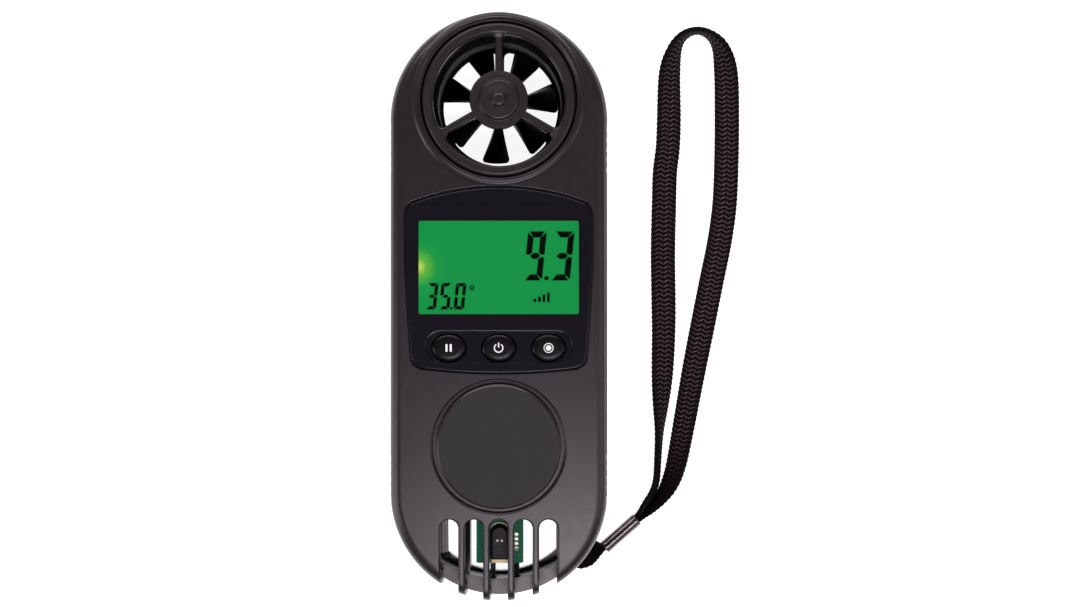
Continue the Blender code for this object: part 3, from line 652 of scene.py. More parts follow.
def rear_case():
    edge = [(REAR_EDGE * (1 - rise), REAR_EDGE * pull) for rise, pull in quarter(9)]
    layers = edge[::-1] + [(SPLIT_LOW - 0.12, 0.0), (SPLIT_LOW, 0.12)]
    case = make("rear_case", stack([(z, body_outline(inset)) for z, inset in layers]))
    wide = BODY_R - WALL
    room = arc(wide, 0.0, math.pi, 60, (0, END_Y))
    room += [(wide * x, -END_Y + END_WALL_R * y) for x, y in arc(1.0, math.pi, 2 * math.pi, 60)]
    bosses = [prism(circle(BOSS_R, middle(s)[:2], 32), 1.2, 8.9) for s in SCREWS]
    bosses.append(turned(soften([(14.7, 1.2), (14.7, 6.1), (13.6, 6.1), (13.6, 1.2)], 0.2), DISC[:2]))
    vent = [(VENT_X, VENT_TOP), (-VENT_X, VENT_TOP)] + end_arc(VENT_R, VENT_X, 24)
    ribs = [
        prism(rounded_box(0.6, -54.8, VENT_TOP + 1.5, 0.12, 3, -6.75), 0.8, 7.4),
        prism(rounded_box(0.5, -56.5, -50.6, 0.12, 3, -1.5), 0.8, 7.0),
        prism(rounded_box(0.5, -56.5, -50.6, 0.12, 3, 3.4), 0.8, 7.0),
    ]
    bore = [(0, -1), (2.15, -1), (2.0, 0.15), (2.0, 1.5), (1.1, 1.5), (1.1, 10), (0, 10)]
    holes = [turned(bore, middle(s)[:2], 48) for s in SCREWS]
    holes.append(turned([(0, -1), (13.2, -1), (12.7, 0.0), (12.2, 0.5), (12.1, 3), (0, 3)], VANE[:2]))
    cover = [turned([(0, -1), (12.7, -1), (12.5, 0.0), (12.2, 0.3), (12.2, 3), (0, 3)], DISC[:2])]
    notches = [prism(lug_outline(t, 13.4, 17.0), -1, 3) for t in (40.0, 220.0)]
    # The strap's pocket leaves its post standing, so the post is cut out of the pocket's solid first.
    corners = ((-2.6, -3.9), (7.0, -3.9), (7.0, 3.9), (-2.6, 3.9))
    pocket = make("pocket", prism([strap_place(out, aside) for out, aside in corners], -1, 4.4))
    carve(pocket, [("DIFFERENCE", [prism(circle(1.3, STRAP_EYE, 32), -2, 5.4)])])
    pocket_solid = bmesh.new()
    pocket_solid.from_mesh(pocket.data)
    bmesh.ops.scale(pocket_solid, vec=(1 / MM,) * 3, verts=pocket_solid.verts)
    bpy.data.objects.remove(pocket, do_unlink=True)
    steps = []
    for x in slot_centres():
        low, far = end_arc(BODY_R - 0.9, SLOT_HALF, 12, x), end_arc(BODY_R + 3, SLOT_HALF, 12, x)
        steps.append(prism(low + far[::-1], -1, 10))
    carve(case, [
        ("DIFFERENCE", [prism(room, WALL, 10)]),
        ("UNION", bosses),
        ("DIFFERENCE", [prism(vent, -1, WALL + 1)]),
        ("UNION", ribs),
        ("DIFFERENCE", holes),
        ("DIFFERENCE", cover),
        ("DIFFERENCE", notches),
        ("DIFFERENCE", [pocket_solid]),
        ("DIFFERENCE", steps),
        ("DIFFERENCE", grip_grooves()),
    ])
    dress(case, PAINT["shell"], CASE, "rear_shell", slot="shell_plastic")


# ---- the vane


def vane_parts():
    profile = soften(
        [(0, 19.98), (0.9, 19.98), (1.35, 19.75), (1.62, 19.2), (2.2, 19.28), (3.45, 19.46), (3.85, 19.36),
         (4.15, 18.8), (5.0, 18.86), (HUB_DISC - 0.1, 18.95), (7.5, 19.05), (12.4, 19.05), (13.0, 19.25),
         (13.5, 19.55), (RING_OUT - 0.55, 19.6), (RING_OUT - 0.2, 19.4), (RING_OUT, 19.0),
         (RING_OUT, 17.6), (3.0, 17.6), (3.0, 13.0), (1.7, 13.0), (1.7, 16.6), (0, 16.6)], 0.16, 3)
    guard = make("guard_ring", turned(profile, VANE[:2], 160))
    openings = []
    for angle in ARM_ANGLES:
        layers = [(16.0, arm_sector(angle)), (18.55, arm_sector(angle))]
        layers += [(18.55 + 0.5 * rise, arm_sector(angle, 0.3 * pull)) for rise, pull in quarter(4, 1)]
        layers.append((21.0, arm_sector(angle, 0.3)))
        openings.append(stack(layers))
    carve(guard, [("DIFFERENCE", openings)])
    dress(guard, PAINT["guard"], CASE, "vane_guard", slot="guard_plastic")

    wall = soften(
        [(0, 3.7), (1.7, 3.7), (1.7, 5.4), (3.0, 5.4), (3.0, 3.7), (12.3, 3.7), (12.55, 4.2), (12.6, 11.2),
         (13.4, 11.7), (13.6, 17.3), (RING_OUT, 17.3), (RING_OUT, 2.1), (0, 2.1)], 0.15, 3)
    duct = make("duct_tube", turned(wall, VANE[:2], 128))
    rear = [flared(lambda g, a=a: arm_sector(a, g, REAR_HUB, REAR_BORE), 1.0, 3.7, 4.1, 0.25)
            for a in ARM_ANGLES]
    keys = [prism(rounded_box(0.8, VANE.y + 12.9, VANE.y + 14.2, 0.2, 3, x), 12.6, 18) for x in (-4.4, 4.4)]
    carve(duct, [("DIFFERENCE", rear), ("DIFFERENCE", keys)])
    dress(duct, PAINT["duct"], CASE, "vane_duct", slot="guard_plastic")


BLADES = 7
BLADE_PHASE = 8.5
BLADE_ROOT = 3.4
BLADE_TIP = 11.85
BLADE_Z = 7.8


def blade_chord(share):
    """A blade's width at a share of its span; the tip's corners are rounded."""
    chord = 2.9 + 3.9 * share ** 0.9
    if share > 0.9:
        back = (share - 0.9) / 0.1
        chord -= 1.6 * (1 - math.sqrt(max(0.0, 1 - back ** 2 * 0.97)))
    return chord


def impeller_wheel():
    """A hub with seven twisted blades, each one a lens-shaped section that flattens towards its tip."""
    spans = 26
    around = 20
    rings = []
    for i in range(spans + 1):
        share = i / spans
        radius = BLADE_ROOT + (BLADE_TIP - BLADE_ROOT) * share
        chord = blade_chord(share)
        pitch = math.radians(62 - 34 * share)
        thick = 0.27 - 0.07 * share
        ring = []
        for k in range(around):
            turn = 2 * math.pi * k / around
            along = 0.5 * chord * math.cos(turn)
            off = thick * math.sin(turn) + 0.25 * (1 - (2 * along / chord) ** 2)
            y = along * math.cos(pitch) - off * math.sin(pitch)
            z = along * math.sin(pitch) + off * math.cos(pitch)
            ring.append((math.sqrt(max(radius ** 2 - y ** 2 * share, 1.0)), y, BLADE_Z + z))
        rings.append(ring)
    solids = []
    for index in range(BLADES):
        built = lofted(rings)
        turn = math.radians(BLADE_PHASE + 360.0 * index / BLADES)
        place = Matrix.Translation((0, VANE.y, 0)) @ Matrix.Rotation(turn, 4, "Z")
        bmesh.ops.transform(built, matrix=place, verts=built.verts)
        solids.append(built)
    hub = soften([(0.8, 5.8), (4.6, 5.8), (4.6, 9.8), (0.8, 9.8), (0.8, 5.8)], 0.35)[1:]
    wheel = make("impeller_wheel", turned(hub, VANE[:2], 64))
    carve(wheel, [("UNION", solids[::2]), ("UNION", solids[1::2])])
    dress(wheel, PAINT["blade"], "impeller", "impeller", slot="blade_plastic")


# ---- window, display and keys


def window():
    half, low, high = VIEW_WINDOW
    top = PANEL_HIGH.z
    edge = 0.22
    layers = [(PANEL_LOW.z, window_outline(-0.02)), (top - edge, window_outline(0.0))]
    layers += [(top - edge + edge * rise, window_outline(-edge * pull)) for rise, pull in quarter(4, 1)]
    panel = make("window_panel_gloss", stack(layers))
    holes = [flared(lambda g, c=middle(k): ellipse(3.52 + g, 2.92 + g, c[:2]), 17.0, 18.9, 21.0, 0.12)
             for k in KEYS]
    bowl = flared(lambda g: rounded_box(14.4 + g, -11.15, -5.0 + g, 3.05 + g * 0.4, 14), 18.85, top, 21, 0.3)
    glass = prism(rounded_box(half, low, high, 0.4), 17, 21)
    carve(panel, [("DIFFERENCE", [bowl]), ("DIFFERENCE", holes), ("DIFFERENCE", [glass])])
    dress(panel, PAINT["window"], CASE, "window_panel", slot="window_gloss")

    clear = rounded_box(half - 0.03, low + 0.03, high - 0.03, 0.37)
    lens = make("display_lens", prism(clear, 18.6, top - 0.1))
    dress(lens, PAINT["lens"], CASE, slot="window_gloss")

    half, low, high = SCREEN
    side = rounded_box(half, low, high, 0.4)
    face = rounded_box(half - 0.1, low + 0.1, high - 0.1, 0.35)
    screen = make("lcd_screen", stack([(LCD_LOW.z, side), (LCD_HIGH.z - 0.1, side), (LCD_HIGH.z, face)]))
    dress(screen, PAINT["lcd"], CASE, "lcd_glass", slot="lit_display")


SEGMENTS = {"0": "abcdef", "3": "abgcd", "5": "afgcd", "9": "abcdfg"}


def digit(symbol, x, y, wide, tall, thick):
    """The mitred strokes of one leaning seven-segment figure; (x, y) is its lower left corner."""
    gap, half, mid, right = 0.17 * thick, thick / 2, tall / 2, wide

    def leaf(level, up):
        inner = level - up * thick
        return [(gap * 1.5, level), (right - gap * 1.5, level), (right - thick, inner), (thick, inner)]

    def post(side, low, high, low_cut, high_cut):
        outer, inner = (0.0, thick) if side < 0 else (right, right - thick)
        centre = (outer + inner) / 2
        points = [(outer, high - (gap if high_cut else gap * 1.5))]
        points.append((inner, high - thick) if high_cut else (inner, high - half))
        points.append((inner, low + thick) if low_cut else (inner, low + half))
        points.append((outer, low + (gap if low_cut else gap * 1.5)))
        if not low_cut:
            points.insert(3, (centre, low + gap))
        if not high_cut:
            points.insert(1, (centre, high - gap))
        return points

    left_in, right_in = thick + gap, right - thick - gap
    shapes = {
        "a": leaf(tall, 1),
        "d": leaf(0.0, -1),
        "g": [(half + gap, mid), (left_in, mid + half), (right_in, mid + half), (right - half - gap, mid),
              (right_in, mid - half), (left_in, mid - half)],
        "f": post(-1, mid, tall, False, True), "b": post(1, mid, tall, False, True),
        "e": post(-1, 0.0, mid, True, False), "c": post(1, 0.0, mid, True, False),
    }
    return [[(x + px + py * 0.1, y + py) for px, py in shapes[key]] for key in SEGMENTS[symbol]]


def display_ink():
    """Generic readings: a large figure with one decimal, a small one with a degree ring, and a level bar."""
    outlines = digit("9", 4.85, 5.2, 3.75, 9.8, 1.22) + digit("3", 10.2, 5.2, 3.95, 9.8, 1.22)
    outlines.append(ellipse(0.46, 0.46, (9.5, 5.66), 20))
    for symbol, x in (("3", -14.7), ("5", -12.0), ("0", -9.1)):
        outlines += digit(symbol, x, -0.6, 2.12, 5.3, 0.7)
    outlines.append(ellipse(0.27, 0.27, (-9.5, -0.33), 16))
    for x, tall in ((6.9, 0.7), (7.8, 1.1), (8.7, 1.5), (9.6, 1.9)):
        outlines.append([(x, 0.9), (x + 0.55, 0.9), (x + 0.55, 0.9 + tall), (x, 0.9 + tall)])
    level = LCD_HIGH.z + 0.03
    solids = [prism(outline, level, level + 0.05) for outline in outlines]
    ring = [(0.5, level), (0.22, level), (0.22, level + 0.05), (0.5, level + 0.05)]
    solids.append(turned(ring, (-5.4, 3.75), 32))
    ink = make("display_figures", joined(solids))
    dress(ink, PAINT["ink"], CASE, slot="chip_black")


CAP_HALF = (3.32, 2.72)
FLANGE_HALF = (3.75, 2.95)
CROWN = 0.55


def keys():
    for name in KEYS:
        low, high = span(name)
        centre = x, y = (low.x + high.x) / 2, (low.y + high.y) / 2
        top = high.z
        sizes = [(14.7, FLANGE_HALF[0] - 0.05, FLANGE_HALF[1] - 0.05), (14.75, *FLANGE_HALF),
                 (15.55, *FLANGE_HALF), (15.6, *CAP_HALF), (top - CROWN, *CAP_HALF)]
        sizes += [(top - CROWN + CROWN * rise, CAP_HALF[0] - 1.25 * pull, CAP_HALF[1] - 1.15 * pull)
                  for rise, pull in quarter(8, 1)]
        key = make(name + "_cap", stack([(z, ellipse(a, b, centre)) for z, a, b in sizes]), 50)
        dress(key, PAINT["key"], name, name, slot="button_rubber")
        foot, face = top - 0.03, top + 0.02
        if name == "hold_button":
            marks = [rounded_box(0.2, y - 0.75, y + 0.75, 0.06, 2, x + aside) for aside in (-0.42, 0.42)]
        elif name == "power_button":
            marks = [arc_band(centre, 0.72, 0.95, 125, 415), rounded_box(0.12, y + 0.1, y + 1.05, 0.05, 2, x)]
        else:
            marks = [ellipse(0.55, 0.55, centre, 32)]
        solids = [prism(mark, foot, face) for mark in marks]
        if name == "record_button":
            solids.append(turned([(0.98, foot), (0.82, foot), (0.82, face), (0.98, face)], centre, 48))
        # The legends are white print that also glows through its material: real print with a painted glow.
        legend = make(name + "_legend", joined(solids))
        dress(legend, PAINT["white"], name, slot="button_rubber")


def label():
    profile = [(0, 18.95), (DISC_R, 18.95), (DISC_R, 19.31), (DISC_R - 0.46, 19.56), (0, 19.58)]
    plate = make("label_plate", turned(soften(profile, 0.08, 4), DISC[:2], 160))
    dress(plate, PAINT["guard"], CASE, "label_disc", slot="label_grey")
    inner = DISC_R - 0.5
    sheet = make("label_sheet", turned([(0, 19.5), (inner, 19.5), (inner, 19.59), (0, 19.59)], DISC[:2], 160))
    dress(sheet, PAINT["disc"], CASE, slot="label_grey")


# ---- sensors


def sensor_parts():
    low, high = span("sensor_pcb")
    board = make("sensor_board", prism(rounded_box(4.8, low.y, high.y, 0.4), low.z, high.z))
    pins = [(3.4, PIN_TOP - PIN_PITCH * i) for i in range(4)]
    holes = [prism(circle(0.36, spot, 24), low.z - 1, high.z + 1) for spot in pins]
    carve(board, [("DIFFERENCE", holes)])
    dress(board, PAINT["board"], CASE, "sensor_pcb", slot="green_board")
    face = high.z + 0.01
    eyelet = [(0.44, face), (0.36, face), (0.36, face + 0.05), (0.44, face + 0.05)]
    pads = [turned(eyelet, spot, 24) for spot in pins]
    pads.append(prism(rounded_box(1.75, -52.35, -51.65, 0.1, 3), face, face + 0.35))
    pads += [prism(rounded_box(0.26, y, y + 0.4, 0.06, 2, -2.3), face, face + 0.35)
             for y in (-49.9, -48.75, -47.6, -46.45)]
    pads.append(prism(arc_band((0, -46.4), 2.05, 2.35, 35, 145), face, face + 0.3))
    metalwork = make("sensor_pads", joined(pads))
    dress(metalwork, PAINT["tin"], CASE, slot="spring_brass")

    low, high = span("humidity_sensor")
    edge = 0.5

    def housing(inset):
        half = 1.9 - inset
        foot, crown, bend = -51.5 + inset, half - 46.4, half * 0.98
        return rounded([(half, foot, 0.5), (half, crown, bend), (-half, crown, bend), (-half, foot, 0.5)], 10)

    layers = [(low.z, housing(0.0)), (high.z - edge, housing(0.0))]
    layers += [(high.z - edge + edge * rise, housing(edge * pull)) for rise, pull in quarter(5, 1)]
    chip = make("sensor_chip", stack(layers))
    ports = [prism(circle(0.26, spot, 20), high.z - 0.4, high.z + 1) for spot in PORTS]
    mark = prism(rounded_box(0.95, -50.6, -48.9, 0.25, 4), high.z - 0.12, high.z + 1)
    carve(chip, [("DIFFERENCE", ports), ("DIFFERENCE", [mark])])
    dress(chip, PAINT["chip"], CASE, "humidity_sensor", slot="chip_black")
    # White rings at the foot of the two ports that glow through their material: painted highlights on the
    # dark sensor.
    sunk = high.z - 0.3
    rim = [(0.26, sunk), (0.12, sunk), (0.12, high.z - 0.24), (0.26, high.z - 0.24)]
    port_glints = make("sensor_port_glints", joined([turned(rim, spot, 20) for spot in PORTS]))
    dress(port_glints, PAINT["white"], CASE, slot="chip_black")

    for name, shift in (("thermistor_lead_left", -0.3), ("thermistor_lead_right", -0.55)):
        x = middle(name).x
        line = [(x, -39.5, 10.2), (x + shift * 0.6, -41.2, 10.3)]
        line += [(x + shift, y, z) for y, z in ((-43.5, 10.2), (-46.5, 9.9), (-48.6, 9.6), (-50.2, 9.4))]
        wire = round_wire(name + "_sleeve", line, 0.42)
        dress(wire, PAINT["wire"], CASE, name, slot="grey_wire")


def round_wire(name, line, radius, around=16):
    """A round wire through a few points in millimetres, with closed ends."""
    points = [Vector(row) for row in even(spline(line, 12), 0.4)[0]]
    rings = []
    for i, point in enumerate(points):
        along = (points[min(i + 1, len(points) - 1)] - points[max(i - 1, 0)]).normalized()
        side = along.cross(Vector((0, 0, 1))).normalized()
        up = side.cross(along)
        rings.append([point + (side * x + up * y) * radius for x, y in circle(1.0, steps=around)])
    return make(name, lofted(rings))


# ---- back: battery cover and screws


def back_parts():
    profile = soften([(0, 0.2), (11.9, 0.2), (11.9, 2.9), (10.3, 2.9), (10.3, 2.0), (0, 2.0)], 0.3, 4)
    cover = make("battery_cover_cap", turned(profile, DISC[:2], 128))
    lugs = [prism(lug_outline(t, 13.0, 12.0), 2.1, 2.9) for t in (0.0, 180.0)]
    slot = prism(rounded_box(5.5, DISC.y - 0.9, DISC.y + 0.9, 0.8), -1, 1.1)
    dots = [prism(circle(0.35, (DISC.x + 8.6 * math.cos(t), DISC.y + 8.6 * math.sin(t)), 20), -1, 0.4)
            for t in [math.radians(a) for a in (80, 90, 100, 260, 270, 280)]]
    carve(cover, [("UNION", lugs), ("DIFFERENCE", [slot] + dots)])
    dress(cover, PAINT["shell"], "battery_cover", "battery_cover", slot="shell_plastic")
    for name in SCREWS:
        spot = middle(name)[:2]
        head = [(0, 0.32), (1.45, 0.35), (1.72, 0.62), (1.72, 1.2), (0.8, 1.2), (0.8, 15.2), (0, 15.7)]
        screw = make(name + "_head", turned(soften(head, 0.12), spot, 48))
        arms = [prism(rounded_box(a, spot[1] - b, spot[1] + b, 0.08, 2, spot[0]), -1, 0.9)
                for a, b in ((0.95, 0.2), (0.2, 0.95))]
        carve(screw, [("DIFFERENCE", arms[:1]), ("DIFFERENCE", arms[1:])])
        dress(screw, PAINT["steel"], CASE, name, slot="steel")


# ---- the wrist strap

STRAP_EYE = (16.6, -51.1)
STRAP_Z = 1.4
STRAP_EXIT = Vector((28.5, -44.5, STRAP_Z))
STRAP_FOOT = Vector((21.7, -50.5, STRAP_Z))
FERRULE_R = 1.34
BAND_HALF = 2.55
BAND_THICK = 0.62
TAIL_THICK = 0.5
STITCH_LONG = 0.97
STITCH_WIDE = 0.95
STITCH_RELIEF = 0.12
WEAVE_STEP = 0.15
# How far from each end the painted shade on the gathered band reaches, in millimetres.
GATHERED_SHADE_REACH = 26.0
LIFT_REACH = 4.0
# The loop's middle line, with the band's turn on its edge in degrees and its share of full width.
STRAP_ROUTE = (
    (27.9, -44.4, 90, 0.36), (29.1, -43.0, 82, 0.6), (30.4, -40.9, 76, 0.9), (31.7, -38.7, 78, 1),
    (32.5, -36.0, 79, 1), (32.8, -31.4, 78, 1), (33.1, -26.0, 72, 1), (33.4, -20.6, 52, 1),
    (33.7, -15.5, 34, 1), (33.9, -11.3, 24, 1), (34.1, -5.0, 16, 1), (34.1, 1.2, 6, 1),
    (34.0, 11.3, 0, 1), (34.2, 21.1, 0, 1), (34.4, 28.0, 2, 1), (35.0, 33.4, 8, 1), (35.2, 39.4, 12, 1),
    (35.3, 48.6, 30, 1), (36.3, 53.6, 58, 1), (38.2, 56.4, 78, 1), (41.1, 57.5, 90, 1), (43.9, 56.4, 82, 1),
    (46.0, 53.6, 58, 1), (47.1, 48.6, 26, 1), (47.4, 39.4, 4, 1), (47.3, 29.9, 0, 1), (46.9, 21.1, 0, 1),
    (45.8, 13.2, 0, 1), (44.2, 5.4, 2, 1), (42.4, -3.4, 10, 1), (40.7, -11.7, 22, 1), (39.5, -18.0, 30, 1),
    (38.3, -24.5, 36, 1), (36.6, -33.1, 46, 1), (35.1, -37.3, 54, 0.95), (33.3, -40.1, 62, 0.82),
    (31.4, -42.3, 70, 0.64), (29.8, -43.9, 82, 0.46), (28.5, -45.1, 90, 0.36),
)
# The tail's line from the ferrule round the post and back, as steps out from the post and across.
TAIL_ROUTE = (
    (4.0, 4.3, 90, 0.34), (3.3, 3.0, 66, 0.5), (2.5, 1.4, 36, 0.72), (1.9, -0.5, 26, 0.78),
    (0.8, -1.9, 40, 0.76), (-0.5, -2.2, 80, 0.76), (-1.9, -1.2, 90, 0.76), (-2.3, 0.5, 90, 0.76),
    (-1.3, 2.0, 86, 0.76), (0.5, 2.5, 60, 0.72), (2.1, 2.9, 56, 0.6), (3.4, 3.9, 76, 0.42),
    (4.4, 4.5, 90, 0.34),
)


def spline(points, per_span):
    """A Catmull-Rom curve through rows of numbers of any width."""
    rows = np.array([points[0]] + list(points) + [points[-1]], float)
    out = []
    for i in range(len(rows) - 3):
        a, b, c, d = rows[i:i + 4]
        for k in range(per_span):
            t = k / per_span
            curve = (2 * a - 5 * b + 4 * c - d) * t ** 2 + (3 * b - a - 3 * c + d) * t ** 3
            out.append(0.5 * (2 * b + (c - a) * t + curve))
    out.append(rows[-1])
    return np.array(out)


def even(rows, step, width=3):
    """The rows read again at even spacing, measured over their first columns."""
    runs = np.concatenate([[0], np.cumsum(np.linalg.norm(np.diff(rows[:, :width], axis=0), axis=1))])
    count = max(2, int(round(runs[-1] / step)))
    wanted = np.linspace(0, runs[-1], count + 1)
    return np.stack([np.interp(wanted, runs, rows[:, c]) for c in range(rows.shape[1])], axis=1), runs[-1]


def from_ends(count, step):
    """How far each of a line's evenly spaced points is from its nearer end."""
    index = np.arange(count)
    return np.minimum(index, index[::-1]) * step


def woven(rows, half_t, around):
    """Vertices of a woven band along rows of (x, y, z, turn, half width), and the painted highlight on each
    stitch.
    """
    step = np.linalg.norm(rows[1, :3] - rows[0, :3])
    along = np.gradient(rows[:, :3], axis=0)
    along /= np.linalg.norm(along, axis=1)[:, None]
    level = np.cross(np.array([0.0, 0.0, 1.0]), along)
    level /= np.linalg.norm(level, axis=1)[:, None]
    up = np.cross(along, level)
    turn = np.radians(rows[:, 3])[:, None]
    wide = level * np.cos(turn) + up * np.sin(turn)
    thin = -level * np.sin(turn) + up * np.cos(turn)
    theta = 2 * np.pi * np.arange(around) / around
    cos, sin = np.cos(theta)[None, :], np.sin(theta)[None, :]
    # A flattened section: nearly straight across the face, round at the edges.
    deep = np.sign(sin) * np.abs(sin) ** 0.45
    share = (rows[:, 4] / BAND_HALF)[:, None]
    across = cos * BAND_HALF
    wave = np.abs(((across / STITCH_WIDE + 0.5 * (deep < 0)) % 2.0) - 1.0)
    wobble = 0.05 * np.sin(rows[:, :1] * 3.1) + 0.05 * np.sin(rows[:, 1:2] * 1.7)
    phase = (np.arange(len(rows)) * step)[:, None] / STITCH_LONG + 0.6 * wave + wobble
    ridge = (0.5 + 0.5 * np.cos(2 * np.pi * phase)) ** 1.2
    column = np.sqrt(0.5 - 0.5 * np.cos(2 * np.pi * across / STITCH_WIDE))
    height = ridge * (0.72 + 0.28 * column)
    relief = STITCH_RELIEF * (height - 0.4)
    # Painted highlight on the stitches' tops, on the two faces only; painted shade darkens it towards the
    # edges and where the band is gathered at its ends.
    gathered_shade = np.clip(from_ends(len(rows), step)[:, None] / GATHERED_SHADE_REACH + 0.2, 0.2, 1.0)
    painted_highlight = height * np.abs(sin) ** 0.6 * gathered_shade
    w = BAND_HALF * share * cos + relief * cos
    t = half_t * (0.45 + 0.55 * share) * deep + relief * np.sign(sin) * np.abs(sin) ** 0.5
    points = rows[:, None, :3] + wide[:, None, :] * w[..., None] + thin[:, None, :] * t[..., None]
    return points.reshape(-1, 3) * MM, painted_highlight.reshape(-1)


def band(name, rows, half_t, around=56):
    """A closed mesh of a woven band, whose stitches stand up as real relief."""
    vertices, painted_highlight = woven(rows, half_t, around)
    index = np.arange(len(vertices)).reshape(len(rows), around)
    ahead = np.roll(index, -1, axis=1)
    quads = np.stack([index[:-1], ahead[:-1], ahead[1:], index[1:]], axis=-1).reshape(-1, 4)
    faces = [tuple(q) for q in quads.tolist()]
    faces.append(tuple(index[0][::-1].tolist()))
    faces.append(tuple(index[-1].tolist()))
    data = bpy.data.meshes.new(name)
    data.from_pydata(vertices.tolist(), [], faces)
    # The stored value is the painted highlight that the strap's material uses to lighten the stitch tops.
    stitch_highlight = data.attributes.new("stitch_highlight", "FLOAT", "POINT")
    stitch_highlight.data.foreach_set("value", painted_highlight.astype(np.float32))
    outward = bmesh.new()
    outward.from_mesh(data)
    bmesh.ops.recalc_face_normals(outward, faces=outward.faces)
    outward.to_mesh(data)
    outward.free()
    data.shade_smooth()
    item = bpy.data.objects.new(name, data)
    bpy.context.scene.collection.objects.link(item)
    return item


def laid(route, step, half_t):
    """The route read at even steps, resting on the table, with its two ends at the ferrule's height."""
    rows = np.array([(x, y, 0.0, turn, share * BAND_HALF) for x, y, turn, share in route])
    rows, length = even(spline(rows, 24), step, 2)
    angle = np.radians(rows[:, 3])
    rows[:, 2] = rows[:, 4] * np.abs(np.sin(angle)) + half_t * np.abs(np.cos(angle)) + 0.12
    near = np.clip(from_ends(len(rows), step) / LIFT_REACH, 0, 1)
    rows[:, 2] = rows[:, 2] * near + STRAP_Z * (1 - near)
    return rows, length


def strap():
    rows, length = laid(STRAP_ROUTE, WEAVE_STEP, BAND_THICK)
    loop = band("strap_band", rows, BAND_THICK)
    dress(loop, PAINT["strap"], CASE, "strap_loop", slot="strap_weave")

    spots = [(*strap_place(out, aside), turn, share) for out, aside, turn, share in TAIL_ROUTE]
    rows, _ = laid(spots, WEAVE_STEP, TAIL_THICK)
    tail = band("strap_tail_band", rows, TAIL_THICK, 44)
    dress(tail, PAINT["strap"], CASE, "strap_tail", slot="strap_weave")

    crimp = ferrule()
    path, _ = laid(STRAP_ROUTE, 1.5, BAND_THICK)


def pressed(turn, middle_turn, deep, wide):
    """How deep a groove along the ferrule is at an angle round it."""
    away = turn - middle_turn
    away = math.atan2(math.sin(away), math.cos(away))
    return deep * math.exp(-(away / wide) ** 2)


def ferrule():
    """A crimped metal sleeve with a pressed groove along its top and a rolled lip at each end."""
    length = (STRAP_EXIT - STRAP_FOOT).length
    axis = (STRAP_FOOT - STRAP_EXIT).normalized()
    side = Vector((-axis.y, axis.x, 0))
    # Distances from an end, the radius there as a share, and how far the grooves are pressed in.
    ends = [(0.0, 0.92, 0.15), (0.06, 0.98, 0.3), (0.2, 1.0, 0.7), (0.5, 1.0, 1.0)]
    stations = ends + [(length / 2, 0.97, 1.0)]
    stations += [(length - run, scale, press) for run, scale, press in ends[::-1]]
    rings = []
    for run, scale, press in stations:
        ring = []
        for t in [2 * math.pi * k / 64 for k in range(64)]:
            radius = FERRULE_R * scale
            radius -= press * pressed(t, math.radians(112), 0.42, 0.2)
            radius -= press * pressed(t, -math.pi / 2, 0.12, 0.5)
            spot = side * (radius * math.cos(t)) + Vector((0, 0, radius * math.sin(t)))
            ring.append(STRAP_EXIT + axis * run + spot)
        rings.append(ring)
    crimp = make("strap_crimp", lofted(rings), 50)
    dress(crimp, PAINT["crimp"], CASE, "strap_ferrule", slot="steel")
    return crimp


# ---- inner parts that keep their CAD shape

KEPT = {
    "impeller_shaft": "steel", "front_bearing": "bronze", "rear_bearing": "bronze", "rotor_magnet": "magnet",
    "vane_pickup": "chip", "lcd_frame": "chip", "backlight_diffuser": "diffuser", "backlight_led": "amber",
    "zebra_strip": "rubber", "main_pcb": "board", "microcontroller": "chip", "crystal": "steel",
    "keypad_membrane": "rubber", "hold_dome": "steel", "power_dome": "steel", "record_dome": "steel",
    "thermistor_bead": "bead", "sensor_ribbon": "wire", "coin_cell": "steel", "negative_contact": "brass",
    "positive_contact": "brass",
}


def kept_nodes():
    for name, paint in KEPT.items():
        data = NODES[name].data
        data.materials.clear()
        data.materials.append(PAINT[paint])


# ---- stage, light and camera

TINT = (1.0, 0.92, 0.98)
FOCAL_SHARE = 1617.0 / 1080.0
SENSOR = 36.0
CAMERA_PLACE = (8.2, 0.6, 340.0)
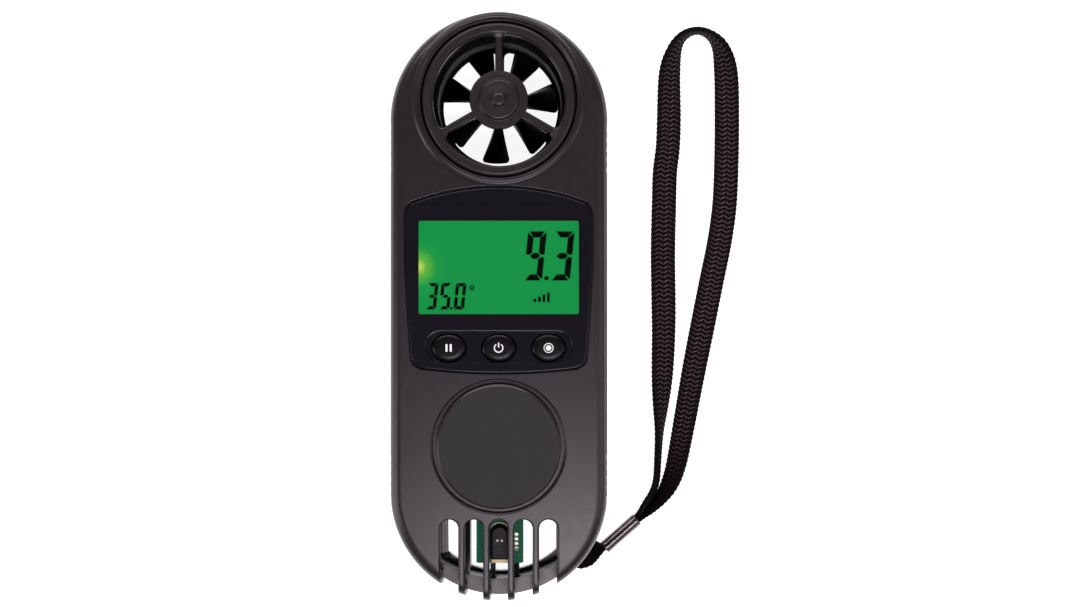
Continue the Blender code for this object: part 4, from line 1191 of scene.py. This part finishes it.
# Each lamp's name, place and size in metres, and power in watts.
LAMPS = (
    ("foot", (0.015, -0.12, 0.33), (0.1, 0.06), 0.24),
    ("front", (0.1, -0.34, 0.62), (0.45, 0.25), 1.1),
    ("side", (0.5, -0.1, 0.4), (0.25, 0.6), 0.5),
    ("left", (-0.5, -0.15, 0.22), (0.2, 0.5), 0.9),
    ("top", (-0.05, 0.5, 0.38), (0.7, 0.16), 2.4),
)


def studio():
    built = bmesh.new()
    bmesh.ops.create_grid(built, x_segments=1, y_segments=1, size=3.0)
    data = bpy.data.meshes.new("floor")
    built.to_mesh(data)
    built.free()
    floor = bpy.data.objects.new("floor", data)
    floor.location = (0, 0, -0.0002)
    bpy.context.scene.collection.objects.link(floor)
    made, _, shader = new_material("floor_white")
    shader.inputs["Base Color"].default_value = (0.95, 0.95, 0.95, 1)
    shader.inputs["Roughness"].default_value = 0.9
    shader.inputs["Specular IOR Level"].default_value = 0.0
    shader.inputs["Emission Color"].default_value = (1, 1, 1, 1)
    shader.inputs["Emission Strength"].default_value = 0.9
    data.materials.append(made)

    world = bpy.data.worlds.new("studio")
    bpy.context.scene.world = world
    world.use_nodes = True
    sky = world.node_tree.nodes["Background"].inputs
    sky["Color"].default_value = (*TINT, 1)
    sky["Strength"].default_value = 0.14
    for name, place, size, power in LAMPS:
        lamp = bpy.data.lights.new(name, "AREA")
        lamp.shape = "RECTANGLE"
        lamp.size, lamp.size_y = size
        lamp.energy = power
        lamp.color = TINT
        item = bpy.data.objects.new(name, lamp)
        item.location = place
        item.rotation_euler = (Vector((0, 0, 0.01)) - Vector(place)).to_track_quat("-Z", "Y").to_euler()
        bpy.context.scene.collection.objects.link(item)


def camera():
    lens = bpy.data.cameras.new("camera")
    lens.sensor_width = SENSOR
    lens.lens = SENSOR * FOCAL_SHARE
    item = bpy.data.objects.new("camera", lens)
    item.location = Vector(CAMERA_PLACE) * MM
    bpy.context.scene.collection.objects.link(item)
    bpy.context.scene.camera = item
    bpy.context.scene.view_settings.view_transform = "Standard"


camera()
studio()
strap()
front_case()
rear_case()
vane_parts()
impeller_wheel()
window()
display_ink()
keys()
label()
sensor_parts()
back_parts()
kept_nodes()
